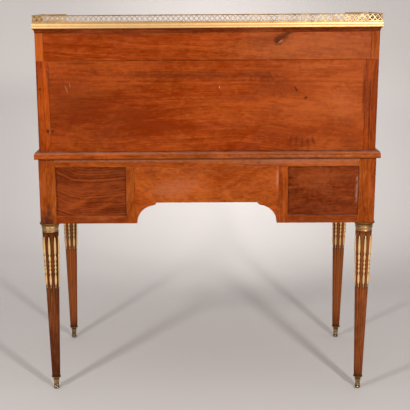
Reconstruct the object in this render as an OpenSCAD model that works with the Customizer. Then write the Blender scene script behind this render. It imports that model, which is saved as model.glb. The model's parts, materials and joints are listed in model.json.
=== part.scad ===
// Cylinder desk on four fluted legs, with a quarter-round fall, a pull-out
// writing slide, a fitted interior, a row of drawers on top and a pierced gallery.
// Millimetres. The origin is on the floor under the middle of the desk,
// +Z is up and the user sits at -Y, so the back faces +Y. Left is -X.

/* [Lower case] */
// Width of the lower case over its corner posts
case_w = 1010; // [900:5:1300]
// Depth of the lower case over its corner posts
case_d = 522; // [470:2:660]
// Floor to the underside of the lower case
leg_h = 547; // [440:1:680]
// Height of the lower case
lower_h = 199; // [185:1:240]
// Side of a square corner post
post_w = 48; // [42:1:58]
// Height of the top rails
top_rail_h = 26; // [18:1:32]
// Height of the bottom rails
bottom_rail_h = 24; // [16:1:30]
// Thickness of every rail
rail_t = 22; // [16:1:26]
// Clear width between the two pedestals
knee_w = 434; // [360:2:560]
// Thickness of a kneehole side
knee_side_t = 27; // [20:1:32]
// How far the side panels stand back from the posts
side_inset = 2; // [1:0.5:5]
// Depth of the sunk field in a lower side
side_field_depth = 4; // [2:0.5:6]
// Plain frame left round that field, front and back
side_field_margin = 26; // [16:1:40]
// Thickness of a lower side
lower_side_t = 20; // [14:1:22]
// Thickness of a back panel
back_panel_t = 8; // [6:1:12]
// How far the back panels stand back in their frames
back_panel_recess = 6; // [2:1:9]

/* [Kneehole arch] */
// Radius of the hollow curve at each end of the arch
arch_r = 56; // [30:1:60]
// Width of the small step above the curve
arch_step = 12; // [3:1:12]
// Height of that step
arch_step_h = 8; // [4:1:16]
// Flat nose left under each end of the arch
arch_nose = 5; // [2:1:12]

/* [Legs] */
// Leg diameter just under the collar
leg_top_d = 50; // [38:0.2:54]
// Leg diameter just above the foot
leg_bottom_d = 25.6; // [20:0.2:32]
// Height of the brass collar under each post
collar_h = 28; // [24:1:44]
// Diameter of the collar's top flange
collar_d = 63; // [54:1:64]
// Wood left plain between the collar and the flutes
neck_h = 14; // [8:1:24]
// Flutes round one leg
flute_count = 8; // [8:1:12]
// Turn of the flutes about the leg, mirrored from left to right
flute_turn = 6; // [0:1:22]
// Flute radius at the top
flute_top_r = 5; // [3:0.1:5.4]
// Flute radius at the bottom
flute_bottom_r = 2.7; // [1.6:0.1:3]
// Length of the brass inlay in each flute
inlay_l = 167; // [100:1:220]
// Height of the brass foot
foot_h = 44; // [34:1:60]
// Diameter of the disc on the foot
foot_disc_d = 30; // [26:1:36]
// Length of the tenon that the leg sets in the foot
foot_tenon_l = 26; // [18:1:30]

/* [Waist] */
// Height of the waist moulding
waist_h = 21; // [17:1:26]
// How far the waist moulding stands out from the lower case
waist_out = 11.5; // [6:0.5:18]
// Width of the inner part of a waist rail, beyond the upper side
waist_inner = 13; // [11:1:20]
// Width of the waist's back rail, inside the lower case
waist_back_w = 34; // [30:1:40]
// Thickness of the board that the slide runs on
bed_t = 12; // [8:1:14]
// Free height between the slide's top and the pigeonholes
slide_drop = 1; // [0.6:0.1:2]
// Thickness of the leather on the slide
leather_t = 1.8; // [1:0.1:3]
// Wood left round the leather
leather_margin = 58; // [30:1:100]

/* [Cylinder] */
// How far the upper case stands in from the lower case
upper_inset = 3; // [1:0.5:6]
// Thickness of an upper side
upper_side_t = 20; // [16:1:24]
// Thickness of the upper back
upper_back_t = 13; // [10:1:18]
// Width of the stiles beside the upper back panel
back_stile_w = 16; // [10:1:40]
// Height of the hinge axis above the waist moulding
axis_rise = 17; // [14:1:24]
// Gap over the outside of the fall
fall_gap = 3; // [2.6:0.2:5]
// Gap behind the fall when it is open
fall_back_gap = 4; // [3:0.5:8]
// Thickness of the fall
fall_t = 14; // [10:1:18]
// Gap at each end of the fall
fall_end_gap = 0.8; // [0.5:0.1:2]
// Angle of the fall's upper edge when it is shut
fall_top_angle = 100; // [95:1:102]
// Radius of a pivot pin
pivot_r = 5; // [4:0.5:6]
// Running clearance of the pivot, on the radius
pivot_gap = 0.05; // [0.02:0.01:0.08]
// Thickness of an iron arm
arm_t = 4; // [3:0.5:5]
// Width of an arm at the pivot end
arm_w = 26; // [20:1:30]

/* [Pigeonholes] */
// Height of the pigeonhole unit
nest_h = 153; // [130:1:165]
// Thickness of its boards
nest_t = 8; // [6:1:10]
// Height of its small drawers
nest_drawer_h = 52; // [40:1:58]
// Room between the unit and the fall
nest_gap = 6; // [4:0.5:12]
// Number of pigeonholes
nest_holes = 5; // [3:1:7]

/* [Top row] */
// Thickness of the ledge board over the fall
ledge_t = 14; // [10:1:18]
// How far the ledge reaches in front of the hinge axis
ledge_front = 9; // [6:1:12]
// Height of the top row of drawers
row_h = 66; // [54:1:90]
// Thickness of the board that the top row's drawers run on
row_floor_t = 12; // [10:1:14]
// Depth of the top row, front to back
row_d = 200; // [170:2:230]
// Thickness of the top row's ends
row_end_t = 24; // [18:1:28]
// Thickness of the top row's dividers
row_divider_t = 14; // [10:1:18]
// Height of the hollow moulding under the top
cornice_h = 13; // [9:1:18]
// How far the top stands out from the upper case
top_out = 7; // [4:0.5:12]
// Height of the brass band round the top
band_h = 16; // [16:1:22]
// Thickness of the brass band
band_t = 6; // [4:0.5:8]
// Thickness of the marble top
marble_t = 16; // [12:1:20]
// Height of the pierced gallery
gallery_h = 22; // [16:1:30]
// Thickness of the gallery strip
gallery_t = 1.6; // [1.2:0.1:2.4]
// Width of one crossed unit of the gallery
gallery_pitch = 15; // [12:0.5:24]
// Length of the gallery's short front returns
gallery_return = 74; // [40:2:120]

/* [Drawers] */
// Thickness of a large drawer's front
front_t = 18; // [14:1:22]
// Thickness of a large drawer's sides and back
drawer_side_t = 10; // [8:1:12]
// Thickness of a drawer's bottom
drawer_bottom_t = 5; // [4:1:7]
// Thickness of a top drawer's front, and of its sides
row_front_t = 14; // [10:1:18]
row_side_t = 8; // [6:1:10]
// Thickness of an inner drawer's front, and of its sides
nest_front_t = 8; // [6:1:12]
nest_side_t = 5; // [4:1:8]
// Gap at each side of a drawer
drawer_gap = 0.8; // [0.5:0.1:1.5]
// Gap under a drawer
drawer_rest = 0.4; // [0.3:0.1:0.8]
// Gap over a drawer
drawer_top_gap = 1.2; // [0.8:0.1:2]
// Height of the rail between two stacked drawers
mid_rail_h = 12; // [10:1:16]
// Depth of the lower drawers
deep_drawer_d = 470; // [400:5:600]
// Diameter of a large knob
knob_d = 20; // [14:1:26]
// Diameter of a small knob
small_knob_d = 12; // [9:1:16]
// Diameter of the writing slide's knobs
slide_knob_d = 9; // [7:1:11]
// Width of the brass beading on the fronts
bead_w = 4; // [3:0.5:6]
// Thickness of the beading
bead_t = 1.8; // [1.2:0.1:2.4]
// Thickness of a keyhole plate
plate_t = 1.4; // [1:0.1:2]
// How far the beading stands in from a front's edge
bead_inset = 11; // [8:1:16]

/* [Hidden] */
$fn = 64;
eps = 0.01;
seat_gap = 0.3;
// Glue line between two boards of one node
joint_gap = 0.1;
// Free width at each side of the slide, and free depth behind it
slide_gap = 1;
slide_back_gap = 5;
// Free width between an arm and the upper side
arm_gap = 0.5;
// Room between the pigeonholes and the arms, and in front of the hinge axis
nest_side_gap = 5;
// Depth of a pivot's bore, and how far the pin goes in
pin_bore_l = 10;
pin_seat_l = 9;
// How far a drawer's sides stay below its front, and its bottom above their lower edges
drawer_side_drop = 5;
drawer_bottom_rise = 4;
// How far a drawer's front stands behind the frame round it
front_recess = 1;

// Where the lower case stands
x_out = case_w / 2;
y_out = case_d / 2;
post_in_x = x_out - post_w;
post_in_y = y_out - post_w;
leg_x = x_out - post_w / 2;
leg_y = y_out - post_w / 2;
waist_z = leg_h + lower_h;
upper_z = waist_z + waist_h;
writing_z = upper_z - slide_drop;
rail_y = y_out - rail_t;
knee_x = knee_w / 2;
pedestal_x = knee_x + knee_side_t;
opening_z0 = leg_h + bottom_rail_h;
opening_z1 = waist_z - top_rail_h;
arch_z = leg_h + arch_r + arch_step_h;
apron_h = bottom_rail_h;
centre_z0 = arch_z + apron_h;
runner_t = 10;
runner_w = 12;
half_opening_h = (opening_z1 - opening_z0 - mid_rail_h) / 2;

// The fall turns about this axis, and fills the depth of the upper case
ux = x_out - upper_inset;
uy = y_out - upper_inset;
fall_r = (2 * uy - upper_back_t - fall_gap - fall_back_gap) / 2;
side_r = fall_r + fall_gap;
axis_y = side_r - uy;
axis_z = upper_z + axis_rise;
fall_in_r = fall_r - fall_t;
upper_in_x = ux - upper_side_t;
fall_x = upper_in_x - fall_end_gap;
fall_low_gap = 1.1;
fall_low_angle = -asin((axis_z - writing_z - fall_low_gap) / fall_r);
arm_in_x = upper_in_x - arm_gap - arm_t;
back_in_y = uy - upper_back_t;

// Slide
slide_x = upper_in_x - waist_inner - slide_gap;
waist_back_y = y_out - waist_back_w;
slide_back_y = waist_back_y - slide_back_gap;
slide_z0 = waist_z + seat_gap;

// Pigeonholes
nest_x = arm_in_x - nest_side_gap;
nest_y0 = axis_y + nest_side_gap;
nest_z1 = upper_z + nest_h;
nest_y1 = axis_y + sqrt(pow(fall_in_r - nest_gap, 2) - pow(nest_z1 - axis_z, 2));
nest_shelf_z = upper_z + nest_t + nest_drawer_h;
nest_drawer_w = (2 * nest_x - 4 * nest_t) / 3;
hub_r = arm_w / 2 + 3;

// Top row
ledge_z = axis_z + side_r;
row_z = ledge_z + ledge_t;
row_drawer_z = row_z + row_floor_t;
row_y0 = uy - row_d;
row_top_z = row_z + row_h;
band_z = row_top_z + cornice_h;
top_x = ux + top_out;
top_y0 = row_y0 - top_out;
top_y1 = uy + top_out;
row_bay_w = (2 * (ux - row_end_t) - 2 * row_divider_t) / 3;

// Finishes
wood = [0.62, 0.27, 0.09];
dark_wood = [0.45, 0.18, 0.06];
light_wood = [0.72, 0.38, 0.16];
inner_wood = [0.66, 0.50, 0.30];
gilt = [0.86, 0.70, 0.38];
iron = [0.30, 0.29, 0.28];
marble = [0.90, 0.89, 0.87];
hide = [0.16, 0.30, 0.18];

// A box between two corners
module block(a, b) {
    translate(a) cube(b - a);
}

// Both mirror images of what stands at +X
module both_sides() {
    children();
    mirror([1, 0, 0]) children();
}

// What stands at a leg, at each of the four legs
module at_each_leg() {
    for (sx = [-1, 1], sy = [-1, 1]) translate([sx * leg_x, sy * leg_y, 0]) children();
}

// Points on an arc about c, from angle a0 to a1
function arc(c, r, a0, a1, n = 12) =
    [for (i = [0:n]) let (a = a0 + (a1 - a0) * i / n) [c[0] + r * cos(a), c[1] + r * sin(a)]];

// A slab whose four edges follow one outline: points of [distance out, height]
module moulded_slab(x0, x1, y0, y1, z, outline) {
    n = len(outline);
    right = [for (p = outline) [x1 + p[0], z + p[1]]];
    left = [for (i = [n - 1:-1:0]) [x0 - outline[i][0], z + outline[i][1]]];
    far = [for (p = outline) [y1 + p[0], z + p[1]]];
    near = [for (i = [n - 1:-1:0]) [y0 - outline[i][0], z + outline[i][1]]];
    intersection() {
        translate([0, 2000, 0]) rotate([90, 0, 0]) linear_extrude(4000) polygon(concat(right, left));
        translate([-2000, 0, 0]) rotate([90, 0, 90]) linear_extrude(4000) polygon(concat(far, near));
    }
}

// Legs
shaft_z1 = leg_h - collar_h;
flute_z0 = foot_h + 9;
flute_z1 = shaft_z1 - neck_h;
tenon_r = 6;
neck_r = 18;
function leg_r(z) = leg_bottom_d / 2
    + (leg_top_d - leg_bottom_d) / 2 * (z - foot_h) / (shaft_z1 - foot_h);
function flute_r(z) = flute_bottom_r
    + (flute_top_r - flute_bottom_r) * (z - flute_z0) / (flute_z1 - flute_z0);
leg_tilt = atan((leg_top_d - leg_bottom_d) / 2 / (shaft_z1 - foot_h));

// What lies along a flute, from z0 upwards, at each flute of a leg on side sx
module along_flutes(z0, sx) {
    for (i = [0:flute_count - 1]) rotate([0, 0, i * 360 / flute_count - sx * flute_turn])
        translate([leg_r(z0), 0, z0]) rotate([0, leg_tilt, 0]) children();
}

module flute_cutters(sx) {
    length = (flute_z1 - flute_z0) / cos(leg_tilt);
    along_flutes(flute_z0, sx)
        cylinder(h = length, r1 = flute_bottom_r, r2 = flute_top_r, $fn = 32);
}

module leg(sx, sy) {
    color(wood) translate([sx * leg_x, sy * leg_y, 0]) difference() {
        union() {
            block([-post_w / 2, -post_w / 2, leg_h], [post_w / 2, post_w / 2, waist_z]);
            rotate_extrude() polygon([
                [0, foot_h - foot_tenon_l], [tenon_r, foot_h - foot_tenon_l], [tenon_r, foot_h],
                [leg_bottom_d / 2, foot_h], [leg_top_d / 2, shaft_z1],
                [neck_r, shaft_z1], [neck_r, leg_h + eps], [0, leg_h + eps]
            ]);
        }
        flute_cutters(sx);
    }
}
module leg_front_left() { leg(-1, -1); }
module leg_front_right() { leg(1, -1); }
module leg_back_left() { leg(-1, 1); }
module leg_back_right() { leg(1, 1); }

// Turned brass collars, slipped over the necks and held under the posts
module leg_collars() {
    r = leg_top_d / 2;
    bore = neck_r + seat_gap;
    h = collar_h;
    color(gilt) at_each_leg() translate([0, 0, shaft_z1]) rotate_extrude() polygon(concat(
        [[bore, 0], [r - 1, 0]],
        arc([r - 1, 0.06 * h], 0.06 * h, -90, 90, 6),
        [[r - 0.6, 0.16 * h], [r + 0.6, 0.36 * h]],
        arc([r + 0.6, 0.42 * h], 0.06 * h, -90, 90, 6),
        [[r + 0.8, 0.51 * h]],
        arc([r + 0.8, 0.58 * h], 0.07 * h, -90, 90, 6),
        [[r + 1, 0.67 * h], [r + 1.6, 0.74 * h], [collar_d / 2 - 1, 0.81 * h],
         [collar_d / 2, 0.85 * h], [collar_d / 2, h], [bore, h]]
    ));
}

// A tapered dart and a chain of husks in the upper part of each flute
module flute_inlays() {
    z0 = flute_z1 - inlay_l;
    l = inlay_l;
    r0 = flute_r(z0) - seat_gap;
    r1 = flute_r(flute_z1) - seat_gap;
    husk = 0.09 * l;
    husks = [for (i = [0:4]) each [
        [0.55 * r0, (i + 0.05) * husk + 0.03 * l], [r0, (i + 0.55) * husk + 0.03 * l]
    ]];
    color(gilt) for (sx = [-1, 1], sy = [-1, 1]) translate([sx * leg_x, sy * leg_y, 0])
        along_flutes(z0, sx) rotate_extrude($fn = 24) polygon(concat(
        [[0, 0]], husks,
        [[0.5 * r0, 0.5 * l], [0.95 * r0, 0.56 * l], [r1, 0.82 * l], [r1, 0.95 * l], [0, l]]
    ));
}

// Brass feet: a disc, a socket for the leg's tenon and a turned toe
module feet() {
    bore = tenon_r + seat_gap;
    depth = foot_tenon_l + seat_gap;
    h = foot_h;
    color(gilt) at_each_leg() rotate_extrude() polygon(concat(
        [[0, 0], [7, 0], [8.6, 2]],
        arc([6, 7], 4, -40, 60, 6),
        [[7, 0.27 * h], [9.6, 0.34 * h], [9.8, 0.72 * h], [8.4, 0.8 * h], [11, 0.86 * h],
         [foot_disc_d / 2, 0.9 * h], [foot_disc_d / 2, h], [bore, h],
         [bore, h - depth], [0, h - depth]]
    ));
}

// Lower case
module back_rails() {
    color(wood) {
        block([-post_in_x, rail_y, opening_z1], [post_in_x, y_out, waist_z]);
        both_sides() block([pedestal_x, rail_y, leg_h], [post_in_x, y_out, opening_z0]);
    }
}

module back_panels() {
    y1 = y_out - back_panel_recess;
    color(dark_wood) both_sides()
        block([pedestal_x, y1 - back_panel_t, opening_z0], [post_in_x, y1, opening_z1]);
}

// Outline of a board over the kneehole, with a hollow curve and a step at each end
function arch_half() = let (
    x = knee_x - arch_nose,
    cx = x - arch_r,
    top = leg_h + arch_r
) concat(
    [[knee_x, leg_h]],
    arc([cx, leg_h], arch_r, 0, 82, 14),
    [[cx + arch_r * cos(82) - arch_step / 2, top + 1], [cx + arch_r * cos(82) - arch_step, arch_z]]
);

module arched_board(top_z) {
    half = arch_half();
    n = len(half);
    other = [for (i = [n - 1:-1:0]) [-half[i][0], half[i][1]]];
    polygon(concat(half, other, [[-knee_x, top_z], [knee_x, top_z]]));
}

module back_centre_board() {
    color(light_wood) translate([0, y_out, 0]) rotate([90, 0, 0])
        linear_extrude(rail_t) arched_board(opening_z1);
}

module front_apron() {
    color(wood) translate([0, -rail_y, 0]) rotate([90, 0, 0])
        linear_extrude(rail_t) arched_board(centre_z0);
}

// A frame and its sunk field, cut in one board
module lower_side() {
    x1 = x_out - side_inset;
    color(wood) difference() {
        block([x1 - lower_side_t, -post_in_y, leg_h], [x1, post_in_y, waist_z]);
        block([x1 - side_field_depth, -post_in_y + side_field_margin, opening_z0],
              [x1 + 1, post_in_y - side_field_margin, opening_z1]);
    }
}
module lower_side_right() { lower_side(); }
module lower_side_left() { mirror([1, 0, 0]) lower_side(); }

// Kneehole sides run from front to back, notched for the top rails
module kneehole_sides() {
    z1 = waist_z - bed_t;
    color(wood) both_sides() difference() {
        block([knee_x, -y_out, leg_h], [pedestal_x, y_out, z1]);
        block([knee_x - 1, rail_y, opening_z1], [pedestal_x + 1, y_out + 1, z1 + 1]);
        block([knee_x - 1, -y_out - 1, opening_z1], [pedestal_x + 1, -rail_y, z1 + 1]);
    }
}

module pedestal_bottoms() {
    color(inner_wood) both_sides()
        block([pedestal_x, -rail_y, opening_z0 - runner_t], [post_in_x, rail_y, opening_z0]);
}

// Top rail, bottom rails and the rail between the two left drawers
module front_rails() {
    mid_z = opening_z0 + half_opening_h;
    color(wood) {
        block([-post_in_x, -y_out, opening_z1], [post_in_x, -rail_y, waist_z]);
        both_sides() block([pedestal_x, -y_out, leg_h], [post_in_x, -rail_y, opening_z0]);
        block([-post_in_x, -y_out, mid_z], [-pedestal_x, -rail_y, mid_z + mid_rail_h]);
    }
}

// Strips that carry the centre drawer and the upper left drawer
module drawer_runners() {
    x_side = x_out - side_inset - lower_side_t;
    mid_z = opening_z0 + half_opening_h + mid_rail_h;
    color(inner_wood) {
        both_sides() block([knee_x - runner_w, -rail_y, centre_z0 - runner_t],
                           [knee_x, rail_y, centre_z0]);
        block([-pedestal_x - runner_w, -rail_y, mid_z - runner_t], [-pedestal_x, rail_y, mid_z]);
        block([-x_side, -post_in_y, mid_z - runner_t], [-post_in_x + runner_w, post_in_y, mid_z]);
    }
}

// The board that the slide runs on, notched round the posts
module bed_board() {
    x1 = x_out - side_inset - lower_side_t;
    color(inner_wood) translate([0, 0, waist_z - bed_t]) linear_extrude(bed_t) polygon([
        [-post_in_x, -rail_y], [post_in_x, -rail_y], [post_in_x, -post_in_y], [x1, -post_in_y],
        [x1, post_in_y], [post_in_x, post_in_y], [post_in_x, rail_y], [-post_in_x, rail_y],
        [-post_in_x, post_in_y], [-x1, post_in_y], [-x1, -post_in_y], [-post_in_x, -post_in_y]
    ]);
}

// Waist moulding: a plain fillet, a small quirk and a rounded top edge
module waist_slab() {
    o = waist_out;
    h = waist_h;
    moulded_slab(-x_out, x_out, -y_out, y_out, waist_z, concat(
        [[o, 0], [o, 0.66 * h], [o - 1.5, 0.72 * h]],
        arc([o - 6.5, h - 5.2], 5.2, 10, 90, 6)
    ));
}
waist_in_x = upper_in_x - waist_inner;

module waist_frame() {
    far = case_w + case_d;
    x1 = x_out + waist_out;
    y1 = y_out + waist_out;
    color(wood) {
        // Side rails, mitred at the back
        both_sides() intersection() {
            waist_slab();
            translate([0, -joint_gap, waist_z - 1]) linear_extrude(waist_h + 2) polygon([
                [waist_in_x, -far], [x1 + 1, -far], [x1 + 1, y1], [x1, y1],
                [waist_in_x, waist_back_y]
            ]);
        }
        intersection() {
            waist_slab();
            translate([0, 0, waist_z - 1]) linear_extrude(waist_h + 2) polygon([
                [-waist_in_x, waist_back_y], [waist_in_x, waist_back_y], [x1, y1],
                [x1, far], [-x1, far], [-x1, y1]
            ]);
        }
    }
}

// Writing slide: a moulded front edge and a board with a sunk bed for the leather
leather_x = slide_x - leather_margin;
leather_y0 = -rail_y + 0.3 * leather_margin;
leather_y1 = slide_back_y - 0.6 * leather_margin;

module writing_slide() {
    color(wood) {
        intersection() {
            waist_slab();
            block([-slide_x, -2 * case_d, slide_z0], [slide_x, -rail_y - joint_gap, writing_z]);
        }
        difference() {
            block([-slide_x, -rail_y, slide_z0], [slide_x, slide_back_y, writing_z]);
            block([-leather_x, leather_y0, writing_z - leather_t],
                  [leather_x, leather_y1, writing_z + 1]);
        }
    }
}

module slide_leather() {
    color(hide) block([-leather_x, leather_y0, writing_z - leather_t],
                      [leather_x, leather_y1, writing_z]);
}

// A turned knob that stands on the plane z = 0
module knob(d) {
    rotate_extrude($fn = 48) polygon(concat(
        [[0, 0], [0.44 * d, 0], [0.44 * d, 0.08 * d], [0.24 * d, 0.18 * d], [0.2 * d, 0.5 * d],
         [0.3 * d, 0.6 * d]],
        arc([0, 0.95 * d], 0.42 * d, -40, 90, 10)
    ));
}

// Whatever stands on z = 0 is turned to stand on a front that faces -Y
module on_front(x, y, z) {
    translate([x, y, z]) rotate([90, 0, 0]) children();
}

module slide_knobs() {
    color(gilt) for (sx = [-1, 1])
        on_front(sx * 0.55 * slide_x, -y_out - waist_out, waist_z + 0.36 * waist_h)
            knob(slide_knob_d);
}

// Upper case
module upper_side() {
    color(wood) difference() {
        translate([upper_in_x, 0, 0]) rotate([90, 0, 90]) linear_extrude(upper_side_t)
            union() {
                intersection() {
                    translate([axis_y, axis_z]) circle(r = side_r, $fn = 180);
                    translate([-uy, axis_z]) square([uy + axis_y, side_r]);
                }
                translate([-uy, upper_z]) square([2 * uy, axis_rise]);
                translate([axis_y, axis_z]) square([uy - axis_y, side_r]);
            }
        translate([upper_in_x - 1, axis_y, axis_z]) rotate([0, 90, 0])
            cylinder(h = pin_bore_l + 1, r = pivot_r + pivot_gap);
    }
}
module upper_side_right() { upper_side(); }
module upper_side_left() { mirror([1, 0, 0]) upper_side(); }

module upper_back_stiles() {
    color(wood) both_sides()
        block([upper_in_x - back_stile_w, back_in_y, upper_z], [upper_in_x, uy, ledge_z]);
}

module upper_back_panel() {
    x1 = upper_in_x - back_stile_w;
    color(light_wood) block([-x1, back_in_y, upper_z], [x1, uy - 1, ledge_z]);
}

module ledge_board() {
    y0 = axis_y - ledge_front;
    nose = 4;
    color(wood) translate([-ux, 0, 0]) rotate([90, 0, 90]) linear_extrude(2 * ux) polygon(concat(
        [[back_in_y, ledge_z], [back_in_y, row_z]],
        arc([y0 + nose, row_z - nose], nose, 90, 180, 6),
        [[y0, ledge_z]]
    ));
}

// Ends, dividers and floor board of the top row
module top_row_uprights() {
    floor_x = ux - row_end_t - joint_gap;
    color(wood) {
        block([-floor_x, row_y0, row_z], [floor_x, back_in_y, row_drawer_z]);
        both_sides() {
            block([ux - row_end_t, row_y0, row_z], [ux, uy, row_top_z]);
            block([ux - row_end_t, back_in_y, ledge_z], [ux, uy, row_z]);
        }
        both_sides() translate([row_bay_w / 2, 0, 0])
            block([0, row_y0, row_drawer_z + joint_gap], [row_divider_t, back_in_y, row_top_z]);
    }
}

module top_row_back() {
    x1 = ux - row_end_t;
    color(light_wood) block([-x1, back_in_y, ledge_z], [x1, uy, row_top_z]);
}

// Hollow moulding that carries the top
module cornice() {
    o = top_out - 1.5;
    h = cornice_h;
    outline = concat([[0, 0]],
                     [for (i = [1:6]) let (a = 90 * i / 6) [o * (1 - cos(a)), 0.75 * h * sin(a)]],
                     [[o, h]]);
    color(dark_wood) moulded_slab(-ux, ux, row_y0, uy, row_top_z, outline);
}

module marble_top() {
    color(marble) block([-top_x + band_t, top_y0 + band_t, band_z],
                        [top_x - band_t, top_y1 - band_t, band_z + marble_t]);
}

// Moulded brass band, in four mitred lengths
module top_band() {
    h = band_h;
    c = band_t;
    module band_slab() {
        moulded_slab(-top_x, top_x, top_y0, top_y1, band_z, [
            [-1.6, 0], [-0.4, 0.06 * h], [-0.4, 0.4 * h], [-2, 0.47 * h], [-0.6, 0.54 * h],
            [0, 0.62 * h], [0, 0.9 * h], [-0.8, h]
        ]);
    }
    x = top_x;
    g = joint_gap;
    color(gilt) for (q = [
        [[-x + g, top_y1], [x - g, top_y1], [x - c - g, top_y1 - c], [-x + c + g, top_y1 - c]],
        [[-x + g, top_y0], [-x + c + g, top_y0 + c], [x - c - g, top_y0 + c], [x - g, top_y0]],
        [[x, top_y0], [x - c, top_y0 + c], [x - c, top_y1 - c], [x, top_y1]],
        [[-x, top_y0], [-x, top_y1], [-x + c, top_y1 - c], [-x + c, top_y0 + c]]
    ]) intersection() {
        band_slab();
        translate([0, 0, band_z - 1]) linear_extrude(h + 2) polygon(q);
    }
}

// A strip of crossed bars between two rails, standing on y = 0
module gallery_strip(length) {
    n = max(1, round(length / gallery_pitch));
    p = length / n;
    low = 2.4;
    high = gallery_h - 3.6;
    mid = (low + high) / 2;
    b = 1.7;
    difference() {
        square([length, gallery_h]);
        for (i = [0:n - 1]) translate([i * p, 0]) {
            polygon([[b * 1.6, high], [p - b * 1.6, high], [p / 2, mid + b]]);
            polygon([[b * 1.6, low], [p / 2, mid - b], [p - b * 1.6, low]]);
        }
        for (i = [1:n - 1]) translate([i * p, mid])
            polygon([[-p / 2 + b * 1.4, 0], [0, -(mid - low) + b], [p / 2 - b * 1.4, 0],
                     [0, high - mid - b]]);
    }
}

gallery_in = 2;
module gallery() {
    x1 = top_x - gallery_in;
    y1 = top_y1 - gallery_in;
    y0 = top_y0 + gallery_in;
    t = gallery_t;
    z = band_z + band_h;
    color(gilt) {
        translate([-x1, y1, z]) rotate([90, 0, 0]) linear_extrude(t) gallery_strip(2 * x1);
        both_sides() {
            translate([x1 - t, y0, z]) rotate([90, 0, 90]) linear_extrude(t)
                gallery_strip(y1 - y0 - t - joint_gap);
            translate([x1 - t - joint_gap - gallery_return, y0 + t, z]) rotate([90, 0, 0])
                linear_extrude(t) gallery_strip(gallery_return);
        }
    }
}

// Cylinder fall
// What is drawn at angle 0, facing -Y at the fall's outside, goes round to angle a
module on_fall(x, a) {
    translate([x, axis_y, axis_z]) rotate([-a, 0, 0]) translate([0, -fall_r, 0])
        rotate([90, 0, 0]) children();
}

// A band of the fall's circle: from x0 to x1, between two radii and two angles
module fall_band(x0, x1, r0, r1, a0, a1) {
    translate([x0, axis_y, axis_z]) rotate([0, 90, 0]) rotate([0, 0, -90 - a1])
        rotate_extrude(angle = a1 - a0, $fn = 180) translate([r0, 0]) square([r1 - r0, x1 - x0]);
}

module cylinder_fall() {
    color(wood) fall_band(-fall_x, fall_x, fall_in_r, fall_r, fall_low_angle, fall_top_angle);
}

// Flat iron arms: a hub with the pivot's bore, a spoke and a foot along the fall
arm_mid = 42;
arm_foot_span = 22;
arm_foot_w = 16;
module fall_arms() {
    foot_r = fall_in_r - seat_gap;
    reach = foot_r - arm_foot_w / 2;
    foot = concat(arc([0, 0], foot_r, -arm_foot_span, arm_foot_span, 24),
                  arc([0, 0], foot_r - arm_foot_w, arm_foot_span, -arm_foot_span, 24));
    color(iron) both_sides() translate([arm_in_x, axis_y, axis_z]) rotate([0, 90, 0])
        rotate([0, 0, -90 - arm_mid]) linear_extrude(arm_t) difference() {
            union() {
                circle(r = hub_r);
                polygon([[0, -arm_w / 2], [reach, -arm_w / 3], [reach, arm_w / 3], [0, arm_w / 2]]);
                polygon(foot);
            }
            circle(r = pivot_r + pivot_gap);
        }
}

// Headed pins, let into the upper sides
module pivot_pins() {
    head = 2;
    x0 = arm_in_x - seat_gap - head;
    color(gilt) both_sides() translate([x0, axis_y, axis_z]) rotate([0, 90, 0]) {
        cylinder(h = head, r = pivot_r + 3.5);
        cylinder(h = upper_in_x + pin_seat_l - x0, r = pivot_r);
    }
}

knob_angle = 5.5;
module fall_knobs() {
    color(gilt) for (sx = [-1, 1]) on_fall(sx * 0.6 * fall_x, knob_angle)
        translate([0, 0, seat_gap]) knob(knob_d);
}

module fall_beading() {
    t = bead_t;
    x1 = 0.905 * fall_x;
    w = bead_w / fall_r * 180 / PI;
    a0 = 13;
    a1 = 80;
    r = fall_r + 0.05;
    color(gilt) {
        both_sides() fall_band(x1 + joint_gap, x1 + bead_w, r, r + t, a0, a1);
        fall_band(-x1, x1, r, r + t, a0, a0 + w);
        fall_band(-x1, x1, r, r + t, a1 - w, a1);
    }
}

// A plate round a keyhole, on z = 0
module keyhole_plate(d) {
    color(gilt) difference() {
        cylinder(h = plate_t, r = d / 2);
        translate([0, 0.12 * d, -1]) cylinder(h = 4, r = 0.13 * d, $fn = 10);
        translate([-0.05 * d, -0.28 * d, -1]) cube([0.1 * d, 0.4 * d, 4]);
    }
}

// Keyhole plate outside and iron lock case inside the fall's lower edge
module fall_lock() {
    h = 30;
    case_y = sqrt(fall_in_r * fall_in_r - h * h / 4) - seat_gap;
    on_fall(0, knob_angle) translate([0, 0, seat_gap]) keyhole_plate(18);
    color(iron) translate([0, axis_y, axis_z]) rotate([-knob_angle, 0, 0])
        block([-28, -case_y, -h / 2], [28, -case_y + 9, h / 2]);
}

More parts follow.
